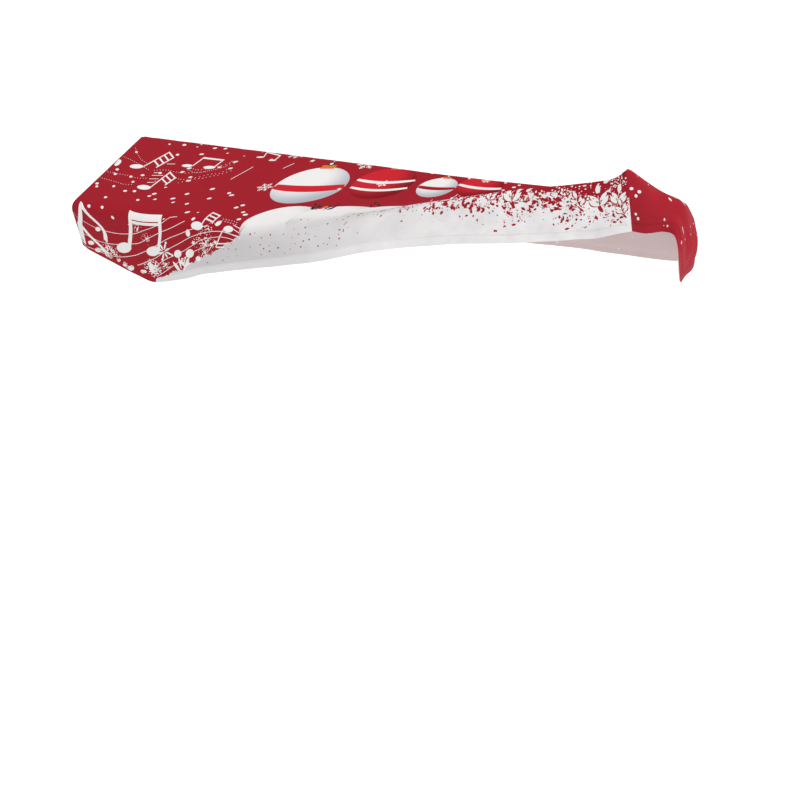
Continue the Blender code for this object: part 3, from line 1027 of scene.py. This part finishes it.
def cut_sheet(surface, two_hems, shapes):
    """Flat points and triangles of a sheet, with the outlines of its print as edges."""
    length = surface.length
    columns = round(length / CUT_STEP)
    flat_u = np.linspace(0, length, columns + 1)
    tops = surface.rise_at(flat_u)
    rim_u = np.linspace(0, length, round(length / RIM_STEP) + 1)
    left = np.arange(1, round(tops[0] / RIM_STEP)) * (tops[0] / round(tops[0] / RIM_STEP))
    right = np.arange(1, round(tops[-1] / RIM_STEP)) * (tops[-1] / round(tops[-1] / RIM_STEP))
    rim = np.concatenate([
        np.stack([rim_u, np.zeros_like(rim_u)], axis=1),
        np.stack([np.full_like(right, length), right], axis=1),
        np.stack([rim_u, surface.rise_at(rim_u)], axis=1)[::-1],
        np.stack([np.zeros_like(left), left], axis=1)[::-1],
    ])
    verts = [rim]
    edges = [(i, (i + 1) % len(rim)) for i in range(len(rim))]
    count = len(rim)
    for shape in shapes:
        outline = shape["outline"]
        verts.append(outline)
        edges += [(count + i, count + (i + 1) % len(outline)) for i in range(len(outline))]
        count += len(outline)
    rows = round(tops.max() / CUT_STEP)
    inner = []
    for u, top in zip(flat_u[1:-1], tops[1:-1]):
        levels = np.arange(1, rows) / rows * top
        guides = np.array(HEM_GUIDES)
        if two_hems:
            guides = np.concatenate([guides, top - guides])
        far = np.abs(levels[:, None] - guides[None, :]).min(axis=1) > CLEAR_OF_GUIDE
        levels = np.concatenate([levels[far], guides])
        inner.append(np.stack([np.full_like(levels, u), levels], axis=1))
    inner = np.concatenate(inner)
    tops = surface.rise_at(inner[:, 0])
    inner = inner[(inner[:, 1] > CLEAR_OF_RIM) & (inner[:, 1] < tops - CLEAR_OF_RIM)]
    drawn = np.concatenate(verts)
    tree = KDTree(len(drawn))
    for i, point in enumerate(drawn):
        tree.insert((point[0], point[1], 0), i)
    tree.balance()
    keep = [tree.find((p[0], p[1], 0))[2] > CLEAR_OF_INK for p in inner]
    points = np.concatenate([drawn, inner[keep]])
    made = delaunay_2d_cdt([Vector(p) for p in points], edges, [], 0, 1e-4, True)
    flat = np.array([tuple(p) for p in made[0]])
    triangles = np.array(made[2], int)
    middle = flat[triangles].mean(axis=1)
    top = surface.rise_at(middle[:, 0])
    within = (middle[:, 1] > 0) & (middle[:, 1] < top) & (middle[:, 0] > 0) & (middle[:, 0] < length)
    a, b, c = (flat[triangles[:, k]] for k in range(3))
    twice = (b[:, 0] - a[:, 0]) * (c[:, 1] - a[:, 1]) - (b[:, 1] - a[:, 1]) * (c[:, 0] - a[:, 0])
    within &= np.abs(twice) > 1e-4
    triangles[twice < 0] = triangles[twice < 0][:, ::-1]
    triangles = triangles[within]
    used = np.unique(triangles)
    renamed = np.full(len(flat), -1)
    renamed[used] = np.arange(len(used))
    return flat[used], renamed[triangles]


def inked(flat, triangles, shapes):
    """The ink at each triangle's corners, with how much of it covers the ground."""
    middle = flat[triangles].mean(axis=1)
    colours = np.zeros((len(triangles), 3, 4))
    for shape in shapes:
        outline = shape["outline"]
        low, high = outline.min(axis=0), outline.max(axis=0)
        near = np.nonzero(((middle >= low) & (middle <= high)).all(axis=1))[0]
        if not len(near):
            continue
        hit = near[inside(outline, middle[near])]
        colours[hit, :, :3] = linear(INKS[shape["ink"]])
        colours[hit, :, 3] = 1.0
        if "fade" in shape:
            reach = (high - low)[1] / 2
            rise = (flat[triangles[hit], 1] - outline[:, 1].mean()) / reach
            colours[hit, :, 3] = soft_step(*shape["fade"], rise)
        if shape["edge"]:
            centre, reach = outline.mean(axis=0), (high - low) / 2
            corners = flat[triangles[hit]]
            away = np.linalg.norm((corners - centre) / reach + (0.3, -0.35), axis=2) / 1.4
            away = soft_step(0.35, 1.0, away)[..., None]
            near_ink, far_ink = (np.array(linear(INKS[shape[k]])) for k in ("ink", "edge"))
            colours[hit, :, :3] = near_ink * (1 - away) + far_ink * away
    return colours


def new_object(name, points, faces, slots, materials):
    """A smooth object in the scene, from points in millimetres and a material slot for each face."""
    mesh = bpy.data.meshes.new(name)
    mesh.from_pydata((points * MM).tolist(), [], faces.tolist())
    for material in materials:
        mesh.materials.append(material)
    mesh.polygons.foreach_set("material_index", slots.astype(np.int32))
    mesh.polygons.foreach_set("use_smooth", np.ones(len(faces), bool))
    mesh.update()
    piece = bpy.data.objects.new(name, mesh)
    bpy.context.scene.collection.objects.link(piece)
    return piece


def sheet_object(name, surface, two_hems, shapes, bank, materials):
    """A cut sheet as a closed shell of cloth, lying on its surface."""
    flat, triangles = cut_sheet(surface, two_hems, shapes)
    middle, normals = surface.at(flat[:, 0], flat[:, 1])
    outer = middle + normals * CLOTH_THICK / 2
    inner = middle - normals * CLOTH_THICK / 2
    count = len(flat)
    sides = np.concatenate([triangles[:, [0, 1]], triangles[:, [1, 2]], triangles[:, [2, 0]]])
    paired = {(a, b) for a, b in sides.tolist()}
    rim = np.array([(a, b) for a, b in sides.tolist() if (b, a) not in paired])
    a, b = rim[:, 0], rim[:, 1]
    walls = np.concatenate([np.stack([a, a + count, b], 1), np.stack([b, a + count, b + count], 1)])
    faces = np.concatenate([triangles, triangles[:, ::-1] + count, walls])
    slots = np.arange(len(faces)) >= len(triangles)
    piece = new_object(name, np.concatenate([outer, inner]), faces, slots, materials)
    mesh = piece.data
    corner = faces.ravel()
    place = corner % count
    mesh.uv_layers.new(name="cloth").data.foreach_set("uv", (flat[place] * MM).ravel())
    printed = np.stack([flat[:, 0], print_rise(flat[:, 0] - PRINT_START, flat[:, 1])], axis=1)
    mesh.uv_layers.new(name="print").data.foreach_set("uv", (printed[place] * MM).ravel())
    level = mesh.attributes.new("bank", "FLOAT", "POINT")
    height = (bank(flat[:, 0] - PRINT_START) - printed[:, 1]) * MM
    level.data.foreach_set("value", np.concatenate([height, height]))
    ink = mesh.attributes.new("ink", "FLOAT_COLOR", "CORNER")
    colours = inked(flat, triangles, shapes)
    bare = np.zeros((len(walls), 3, 4))
    spread = np.concatenate([colours, colours[:, ::-1], bare])
    ink.data.foreach_set("color", spread.ravel())
    across = unit(np.concatenate([normals, -normals]))[corner].reshape(-1, 3)
    wall_first = 6 * len(triangles)
    wall_points = np.concatenate([outer, inner])[walls]
    wall_normal = unit(np.cross(
        wall_points[:, 1] - wall_points[:, 0], wall_points[:, 2] - wall_points[:, 0]
    ))
    across[wall_first:] = np.repeat(wall_normal, 3, axis=0)
    mesh.normals_split_custom_set(across.tolist())
    return piece


# Twin rows of stitches hold each hem, white where the snow lies over it. Every stitch is a short
# thread of four rings, each with its share along, width and lift
STITCH_ROWS = (17.0, 19.2)
STITCH_LENGTH = 2.9
STITCH_PITCH = 4.2
THREAD_RADIUS = 0.3
STITCH_RINGS = ((0.0, 0.5, -0.25), (0.22, 1.0, 0.1), (0.78, 1.0, 0.1), (1.0, 0.5, -0.25))
SNOW_OVER_HEM = 19.0


def stitch_points(surface, starts, rises):
    """Rings of points of a row of stitches, for rises found from a place along the sheet."""
    near, near_normal = surface.at(starts, rises(starts))
    ends = starts + STITCH_LENGTH
    far, far_normal = surface.at(ends, rises(ends))
    run = unit(far - near)
    proud = unit(near_normal + far_normal)
    side = unit(np.cross(run, proud))
    rings = []
    for share, width, lift in STITCH_RINGS:
        middle = near * (1 - share) + far * share + proud * (CLOTH_THICK / 2 + lift)
        for turn in range(4):
            c, s = math.cos(turn * math.pi / 2), math.sin(turn * math.pi / 2)
            rings.append(middle + (proud * c + side * s) * THREAD_RADIUS * width)
    return np.stack(rings, axis=1)


def stitch_faces(count):
    """Faces of so many stitches, each a closed thread."""
    one = [(3, 2, 1, 0), (12, 13, 14, 15)]
    for i in range(3):
        for j in range(4):
            k = (j + 1) % 4
            one.append((4 * i + j, 4 * i + k, 4 * i + 4 + k, 4 * i + 4 + j))
    first = np.arange(count)[:, None, None] * 16
    return (np.array(one)[None] + first).reshape(-1, 4)


def stitch_object(name, sheets, materials):
    """All stitches along the hems of some sheets, red ones on red cloth and white ones on snow."""
    points, white = [], []
    for surface, two_hems, snowy in sheets:
        starts = np.arange(STITCH_PITCH, surface.length - 2 * STITCH_PITCH, STITCH_PITCH)
        for row in STITCH_ROWS:
            points.append(stitch_points(surface, starts, lambda u, row=row: np.full_like(u, row)))
            white.append((bank_at(starts - PRINT_START) > SNOW_OVER_HEM) & snowy)
            if two_hems:
                back = stitch_points(surface, starts, lambda u, row=row: surface.rise_at(u) - row)
                points.append(back)
                white.append(np.zeros(len(starts), bool))
    points = np.concatenate(points)
    faces = stitch_faces(len(points))
    slots = np.repeat(np.concatenate(white), len(faces) // len(points))
    return new_object(name, points.reshape(-1, 3), faces, slots, materials)


def add_node(tree, kind, sockets=(), **settings):
    """One node with its settings. Its sockets, by name or in order, are given values or linked."""
    made = tree.nodes.new(kind)
    for name, value in settings.items():
        setattr(made, name, value)
    for socket, value in sockets.items() if isinstance(sockets, dict) else enumerate(sockets):
        if isinstance(value, bpy.types.Node):
            value = next(output for output in value.outputs if output.enabled)
        if isinstance(value, bpy.types.NodeSocket):
            tree.links.new(value, made.inputs[socket])
        else:
            made.inputs[socket].default_value = value
    return made


def kept_material(name, looks, values):
    """A material by its name, made once. Its looks add nodes and give the shader's sockets."""
    if name in bpy.data.materials:
        return bpy.data.materials[name]
    material = bpy.data.materials.new(name)
    material.use_nodes = True
    material.node_tree.nodes.clear()
    add = partial(add_node, material.node_tree)
    add("ShaderNodeOutputMaterial", [add("ShaderNodeBsdfPrincipled", looks(add, values))])
    return material


# A warp-knitted loop is about 0.6 mm wide, too fine to show, so it is drawn 1.6 mm wide
LOOP = 1.6 * MM

# A sewing thread's strands turn about once in 1 mm, and its fuzz is as fine
THREAD_TWIST = 1.0 * MM
THREAD_FUZZ = 700.0

# A wave texture at a scale of 1 repeats every tau / 20 metres
WAVE_TURNS = 20

# Knit is matt, with a faint bloom of loose fibres. A spun thread is a little smoother
KNIT_SHADER = {"Roughness": 0.88, "Specular IOR Level": 0.12, "Sheen Weight": 0.03,
               "Sheen Roughness": 0.5}
THREAD_SHADER = {"Roughness": 0.75, "Specular IOR Level": 0.2, "Sheen Weight": 0.05,
                 "Sheen Roughness": 0.5}

# Cells a metre: the knit's unevenness, about 11 mm across, and clouds in the dye, about 110 and
# 80 mm on the long panel and the ends
UNEVEN_KNIT = 90.0
DYE_CLOUDS = 9.0
END_DYE_CLOUDS = 12.0

# The snowbank's edge wanders in waves of about 23 mm and 5 mm, red flecks of about 8 mm break it
# up, white ones of about 6 mm lie over it, and grey clouds of about 60 mm lie in the snow
EDGE_WAVES = {"Scale": 44.0, "Detail": 2.0, "Roughness": 0.6}
EDGE_RIPPLES = {"Scale": 200.0, "Detail": 2.0, "Roughness": 0.75}
RED_FLECKS = {"Scale": 130.0}
WHITE_FLECKS = {"Scale": 170.0}
SNOW_CLOUDS = {"Scale": 16.0, "Detail": 5.0, "Roughness": 0.62}

# Metres along the cloth where the edge breaks up, the snow's grey clears and the hem stops being
# lighter than the snow, each with what it changes from and to
EDGE_BREAKS = (0.58, 0.80, 0.08, 1.0)
GREY_CLEARS = (0.42, 1.12, 0.0, 1.0)
HEM_FADES = (0.62, 0.90, 1.0, 0.2)

# How much of the print shows through on the inside
SHOWS_THROUGH = 0.24


def knit_bump(add, cloth):
    """Rows of loops and a little unevenness of the hanging cloth."""
    turn = add("ShaderNodeMapping", {"Vector": cloth, "Rotation": (0, 0, math.pi / 4)})
    wave = {"Vector": turn, "Scale": math.tau / WAVE_TURNS / LOOP, "Distortion": 0.4, "Detail": 1.0}
    rows = [add("ShaderNodeTexWave", wave, bands_direction=axis).outputs["Fac"] for axis in "XY"]
    loops = add("ShaderNodeMath", rows, operation="MULTIPLY")
    uneven = add("ShaderNodeTexNoise", {"Vector": cloth, "Scale": UNEVEN_KNIT, "Detail": 3.0})
    first = add("ShaderNodeBump", {"Height": uneven, "Strength": 0.25, "Distance": 0.8 * MM})
    return add("ShaderNodeBump", {"Height": loops, "Normal": first, "Strength": 0.35,
                                  "Distance": 0.25 * MM})


def print_colour(add, cloth, colours):
    """The printed face: red ground, a snowbank with a broken edge, and the inks over them."""
    bank = add("ShaderNodeAttribute", attribute_name="bank").outputs["Fac"]
    ink = add("ShaderNodeAttribute", attribute_name="ink").outputs
    along, up, _ = add("ShaderNodeSeparateXYZ", [cloth]).outputs
    drawn = {"Vector": add("ShaderNodeUVMap", uv_map="print")}

    # The edge wanders, more and more to the right
    broken = add("ShaderNodeMapRange", [along, *EDGE_BREAKS], interpolation_type="SMOOTHSTEP")
    waves = add("ShaderNodeTexNoise", drawn | EDGE_WAVES)
    ripples = add("ShaderNodeTexNoise", drawn | EDGE_RIPPLES)
    rough = add("ShaderNodeMath", [waves, 0.20, -0.10], operation="MULTIPLY_ADD")
    rough = add("ShaderNodeMath", [ripples, 0.12, rough], operation="MULTIPLY_ADD")
    rough = add("ShaderNodeMath", [rough, -0.06], operation="ADD")
    rough = add("ShaderNodeMath", [rough, broken], operation="MULTIPLY")
    level = add("ShaderNodeMath", [bank, rough], operation="ADD")
    snowy = add("ShaderNodeMapRange", [level, -0.4 * MM, 0.4 * MM])

    # Red flecks in the snow thin out to 65 mm below the edge, white ones to 45 mm above it
    flecks = add("ShaderNodeTexVoronoi", drawn | RED_FLECKS).outputs
    picked = add("ShaderNodeSeparateColor", [flecks["Color"]]).outputs[0]
    near = add("ShaderNodeMapRange", [bank, 0.0, 0.065, 0.55, 0.0])
    near = add("ShaderNodeMath", [near, broken], operation="MULTIPLY")
    near = add("ShaderNodeMath", [picked, near], operation="MULTIPLY")
    spot = add("ShaderNodeMath", [flecks["Distance"], near], operation="GREATER_THAN")
    snowy = add("ShaderNodeMath", [snowy, spot], operation="MULTIPLY")
    flecks = add("ShaderNodeTexVoronoi", drawn | WHITE_FLECKS).outputs
    picked = add("ShaderNodeSeparateColor", [flecks["Color"]]).outputs[1]
    near = add("ShaderNodeMapRange", [bank, -0.045, 0.0, 0.0, 0.5])
    near = add("ShaderNodeMath", [near, broken], operation="MULTIPLY")
    near = add("ShaderNodeMath", [picked, near], operation="MULTIPLY")
    spot = add("ShaderNodeMath", [flecks["Distance"], near], operation="LESS_THAN")
    snowy = add("ShaderNodeMath", [snowy, spot], operation="MAXIMUM")

    clouds = add("ShaderNodeTexNoise", {"Vector": cloth} | SNOW_CLOUDS)
    clouds = add("ShaderNodeMapRange", [clouds, 0.40, 0.72, 0.0, 0.6])
    clear = add("ShaderNodeMapRange", [along, *GREY_CLEARS])
    dye = add("ShaderNodeTexNoise", {"Vector": cloth, "Scale": DYE_CLOUDS, "Detail": 3.0})
    plain = add("ShaderNodeMapRange", [along, *HEM_FADES])
    hem = add("ShaderNodeMapRange", [up, 0.0195, 0.0205, 0.5, 0.0])
    hem = add("ShaderNodeMath", [hem, snowy], operation="MULTIPLY")
    hem = add("ShaderNodeMath", [hem, plain], operation="MULTIPLY")
    snow = add("ShaderNodeMix", {0: clear, 6: colours["snow_grey"], 7: colours["snow"]},
               data_type="RGBA")
    snow = add("ShaderNodeMix", {0: clouds, 6: snow, 7: colours["shade"]}, data_type="RGBA")
    ground = add("ShaderNodeMix", {0: dye, 6: colours["ground"], 7: colours["ground_deep"]},
                 data_type="RGBA")
    printed = add("ShaderNodeMix", {0: snowy, 6: ground, 7: snow}, data_type="RGBA")
    printed = add("ShaderNodeMix", {0: ink["Alpha"], 6: printed, 7: ink["Color"]}, data_type="RGBA")
    return add("ShaderNodeMix", {0: hem, 6: printed, 7: colours["hem"]}, data_type="RGBA")


def printed_knit(add, colours):
    """Polyester and elastane knit, heat-printed: flat saturated inks on a matt, soft face."""
    cloth = add("ShaderNodeUVMap", uv_map="cloth")
    colour = print_colour(add, cloth, colours)
    return {"Base Color": colour, "Normal": knit_bump(add, cloth), **KNIT_SHADER}


def knit_reverse(add, colours):
    """The unprinted side of the same knit: white yarn through which the print shows faintly."""
    cloth = add("ShaderNodeUVMap", uv_map="cloth")
    through = print_colour(add, cloth, colours)
    colour = add("ShaderNodeMix", {0: SHOWS_THROUGH, 6: colours["reverse"], 7: through},
                 data_type="RGBA")
    return {"Base Color": colour, "Normal": knit_bump(add, cloth), **KNIT_SHADER}


def plain_knit(add, colours):
    """The same knit printed all red with small dots: an even colour with a slight cloudiness."""
    cloth = add("ShaderNodeUVMap", uv_map="cloth")
    dye = add("ShaderNodeTexNoise", {"Vector": cloth, "Scale": END_DYE_CLOUDS, "Detail": 3.0})
    ground = add("ShaderNodeMix", {0: dye, 6: colours["end"], 7: colours["ground"]},
                 data_type="RGBA")
    ink = add("ShaderNodeAttribute", attribute_name="ink").outputs
    colour = add("ShaderNodeMix", {0: ink["Alpha"], 6: ground, 7: ink["Color"]}, data_type="RGBA")
    return {"Base Color": colour, "Normal": knit_bump(add, cloth), **KNIT_SHADER}


def sewing_thread(add, colour):
    """Spun polyester thread: matt, a little fuzzy, with the twist of its strands."""
    place = add("ShaderNodeTexCoord").outputs["Object"]
    fuzz = add("ShaderNodeTexNoise", {"Vector": place, "Scale": THREAD_FUZZ})
    darker = tuple(c * 0.8 for c in colour[:3]) + (1.0,)
    spun = add("ShaderNodeMix", {0: fuzz, 6: darker, 7: colour}, data_type="RGBA")
    twist = add("ShaderNodeTexWave", {
        "Vector": place, "Scale": math.tau / WAVE_TURNS / THREAD_TWIST, "Distortion": 0.5,
    }, bands_direction="DIAGONAL").outputs["Fac"]
    bump = add("ShaderNodeBump", {"Height": twist, "Strength": 0.4, "Distance": 0.1 * MM})
    return {"Base Color": spun, "Normal": bump, **THREAD_SHADER}


def studio_table(add, glow):
    """A lit studio table: matt white paper, so bright that no shadow shows on it."""
    place = add("ShaderNodeTexCoord").outputs["Object"]
    grain = add("ShaderNodeTexNoise", {"Vector": place, "Scale": PAPER_CLOUDS})
    white = add("ShaderNodeMix", {0: grain, 6: hex_colour("#CFCFCF"), 7: hex_colour("#CDCDCD")},
                data_type="RGBA")
    return {"Base Color": white, "Roughness": 0.95, "Specular IOR Level": 0.0,
            "Emission Color": (1, 1, 1, 1), "Emission Strength": glow}


def hex_colour(text):
    return (*linear(text), 1.0)


class CoverColours(bpy.types.PropertyGroup):
    ground: bpy.props.FloatVectorProperty(
        name="Ground", description="Red of the printed ground", subtype="COLOR", size=4,
        min=0, max=1, default=hex_colour("#A81C2B"))
    ground_deep: bpy.props.FloatVectorProperty(
        name="Deep ground", description="Where the red ground is a little darker",
        subtype="COLOR", size=4, min=0, max=1, default=hex_colour("#9F1826"))
    end: bpy.props.FloatVectorProperty(
        name="End", description="Red of the two ends", subtype="COLOR", size=4,
        min=0, max=1, default=hex_colour("#A92733"))
    snow: bpy.props.FloatVectorProperty(
        name="Snow", description="White of the snowbank", subtype="COLOR", size=4,
        min=0, max=1, default=hex_colour("#FBF8F8"))
    snow_grey: bpy.props.FloatVectorProperty(
        name="Grey snow", description="White of the snowbank towards its left end",
        subtype="COLOR", size=4, min=0, max=1, default=hex_colour("#D6D3D4"))
    shade: bpy.props.FloatVectorProperty(
        name="Snow shade", description="Grey clouds in the snowbank", subtype="COLOR", size=4,
        min=0, max=1, default=hex_colour("#CFCDD0"))
    hem: bpy.props.FloatVectorProperty(
        name="Hem", description="What the doubled hem is lightened with", subtype="COLOR",
        size=4, min=0, max=1, default=hex_colour("#F6F5F4"))
    reverse: bpy.props.FloatVectorProperty(
        name="Reverse", description="Unprinted yarn on the inside", subtype="COLOR", size=4,
        min=0, max=1, default=hex_colour("#E9E2E1"))
    thread: bpy.props.FloatVectorProperty(
        name="White thread", description="Thread of the hems on the snowbank", subtype="COLOR",
        size=4, min=0, max=1, default=hex_colour("#E4E1E1"))
    red_thread: bpy.props.FloatVectorProperty(
        name="Red thread", description="Thread of the hems on red cloth", subtype="COLOR",
        size=4, min=0, max=1, default=hex_colour("#9A1A28"))


class CoverSizes(bpy.types.PropertyGroup):
    fold_strength: bpy.props.FloatProperty(
        name="Fold strength", description="How strongly the soft folds stand out",
        default=1.0, min=0.0, max=2.0, subtype="FACTOR")
    floor_drop: bpy.props.FloatProperty(
        name="Floor drop", description="How far the studio floor lies below the cover's top",
        default=0.75, min=0.2, max=2.0, unit="LENGTH")
    lens: bpy.props.FloatProperty(
        name="Lens", description="Focal length of the camera in millimetres",
        default=45.0, min=20.0, max=120.0)
    light_power: bpy.props.FloatProperty(
        name="Light power", description="Strength of the one soft light from the right",
        default=2.2, min=0.0, max=10.0)
    air_light: bpy.props.FloatProperty(
        name="Air light", description="Strength of the even light from all round",
        default=0.38, min=0.0, max=3.0)


def no_bank(u):
    return np.full_like(u, -100.0)


def fits_in(surface, outline):
    u, v = outline.T
    reach = np.minimum(surface.rise_at(u) - v, v)
    return min(reach.min(), u.min(), (surface.length - u).min()) > CLEAR_OF_RIM


def cover_settings(scene):
    """The colours by name, and the strength of the folds."""
    group = scene.knit_cover_colours
    colours = {name: tuple(getattr(group, name)) for name in CoverColours.__annotations__}
    return colours, scene.knit_cover_sizes.fold_strength


def long_surface(strength):
    return Surface(long_panel_grid(), relief(LONG_FOLDS, strength, True))


def end_surfaces(strength):
    """The hanging surfaces of the right and the left end."""
    grid = long_panel_grid()
    return [
        Surface(end_panel_grid(seam, rows), relief(folds, strength, False))
        for seam, rows, folds in (
            (grid[-1], RIGHT_END_ROWS, RIGHT_FOLDS), (grid[0][::-1], LEFT_END_ROWS, LEFT_FOLDS),
        )
    ]


class KNITCOVER_OT_hem_stitches(bpy.types.Operator):
    """Make the twin rows of stitches along all the hems"""
    bl_idname = "knitcover.hem_stitches"
    bl_label = "Hem Stitches"

    def execute(self, context):
        colours, strength = cover_settings(context.scene)
        right, left = end_surfaces(strength)
        sheets = ((long_surface(strength), True, True), (right, False, False), (left, False, False))
        materials = [
            kept_material("spun_polyester_thread_red", sewing_thread, colours["red_thread"]),
            kept_material("spun_polyester_thread_white", sewing_thread, colours["thread"]),
        ]
        piece = stitch_object("hem_stitches", sheets, materials)
        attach(piece, "root")
        return {"FINISHED"}


class KNITCOVER_OT_long_panel(bpy.types.Operator):
    """Make the printed panel that is the front skirt, the top and the back skirt in one"""
    bl_idname = "knitcover.long_panel"
    bl_label = "Long Panel"

    def execute(self, context):
        colours, strength = cover_settings(context.scene)
        materials = [
            kept_material("heat_printed_knit", printed_knit, colours),
            kept_material("knit_reverse", knit_reverse, colours),
        ]
        piece = sheet_object("printed_long_panel", long_surface(strength), True, cover_print(),
                             bank_at, materials)
        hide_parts("long_panel")
        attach(piece, "root")
        return {"FINISHED"}


class KNITCOVER_OT_end_panels(bpy.types.Operator):
    """Make the two plain red ends that are sewn into the long panel"""
    bl_idname = "knitcover.end_panels"
    bl_label = "End Panels"

    def execute(self, context):
        colours, strength = cover_settings(context.scene)
        right, left = end_surfaces(strength)
        materials = [
            kept_material("heat_printed_plain_knit", plain_knit, colours),
            kept_material("knit_reverse", knit_reverse, colours),
        ]
        for name, surface, shapes in (
            ("right_end_panel", right, right_end_print()),
            ("left_end_panel", left, left_end_print()),
        ):
            shapes = [s for s in shapes if fits_in(surface, s["outline"])]
            piece = sheet_object("plain_" + name, surface, False, shapes, no_bank, materials)
            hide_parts(name)
            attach(piece, "root")
        return {"FINISHED"}


# The camera as fitted to the photo: its place in metres, its turn, tip and roll, and its sensor
CAMERA_PLACE = (0.85644, -1.47162, 1.08469)
CAMERA_TURNS = (29.915, 90 - 43.742, -9.433)
SENSOR_WIDTH = 36
LIGHT_FROM = (0.5, -0.08, 0.86)
LIGHT_SPREAD = 50
TABLE_SIZE = 16
TABLE_GLOW = 0.60
PAPER_CLOUDS = 3.0


class KNITCOVER_OT_stage(bpy.types.Operator):
    """Make the camera, the soft lights and the pale floor"""
    bl_idname = "knitcover.stage"
    bl_label = "Studio"

    def execute(self, context):
        scene = context.scene
        sizes = scene.knit_cover_sizes
        data = bpy.data.cameras.new("studio_camera")
        data.lens, data.sensor_width = sizes.lens, SENSOR_WIDTH
        camera = bpy.data.objects.new("studio_camera", data)
        scene.collection.objects.link(camera)
        turn, tip, roll = (math.radians(angle) for angle in CAMERA_TURNS)
        camera.matrix_world = (
            Matrix.Translation(CAMERA_PLACE) @ Matrix.Rotation(turn, 4, "Z")
            @ Matrix.Rotation(tip, 4, "X") @ Matrix.Rotation(roll, 4, "Z")
        )
        scene.camera = camera
        bpy.ops.object.select_all(action="DESELECT")
        bpy.ops.mesh.primitive_plane_add(size=TABLE_SIZE, location=(0, 0, -sizes.floor_drop))
        floor = context.object
        floor.name = "studio_floor"
        bpy.ops.object.transform_apply(location=True, rotation=True, scale=True)
        floor.data.materials.append(kept_material("lit_studio_table", studio_table, TABLE_GLOW))
        light = bpy.data.lights.new("window_light", "SUN")
        light.energy, light.angle = sizes.light_power, math.radians(LIGHT_SPREAD)
        lamp = bpy.data.objects.new("window_light", light)
        scene.collection.objects.link(lamp)
        lamp.rotation_euler = (-Vector(LIGHT_FROM)).to_track_quat("-Z", "Y").to_euler()
        world = bpy.data.worlds.new("studio_air")
        scene.world = world
        world.use_nodes = True
        air = world.node_tree.nodes["Background"]
        air.inputs["Color"].default_value = (1, 1, 1, 1)
        air.inputs["Strength"].default_value = sizes.air_light
        scene.view_settings.view_transform = "Standard"
        return {"FINISHED"}


class KNITCOVER_PT_panel(bpy.types.Panel):
    bl_label = "Knit Cover"
    bl_idname = "KNITCOVER_PT_panel"
    bl_space_type = "VIEW_3D"
    bl_region_type = "UI"
    bl_category = "Knit Cover"

    def draw(self, context):
        for operator in OPERATORS:
            self.layout.operator(operator.bl_idname)
        for name in CoverSizes.__annotations__:
            self.layout.prop(context.scene.knit_cover_sizes, name)
        for name in CoverColours.__annotations__:
            self.layout.prop(context.scene.knit_cover_colours, name)


OPERATORS = (
    KNITCOVER_OT_stage, KNITCOVER_OT_hem_stitches, KNITCOVER_OT_long_panel, KNITCOVER_OT_end_panels,
)
CLASSES = (CoverColours, CoverSizes, *OPERATORS, KNITCOVER_PT_panel)


def register():
    for kind in CLASSES:
        bpy.utils.register_class(kind)
    bpy.types.Scene.knit_cover_colours = bpy.props.PointerProperty(type=CoverColours)
    bpy.types.Scene.knit_cover_sizes = bpy.props.PointerProperty(type=CoverSizes)


def unregister():
    del bpy.types.Scene.knit_cover_sizes
    del bpy.types.Scene.knit_cover_colours
    for kind in reversed(CLASSES):
        bpy.utils.unregister_class(kind)


def main():
    register()
    for operator in OPERATORS:
        group, name = operator.bl_idname.split(".")
        getattr(getattr(bpy.ops, group), name)()


if __name__ == "__main__":
    main()
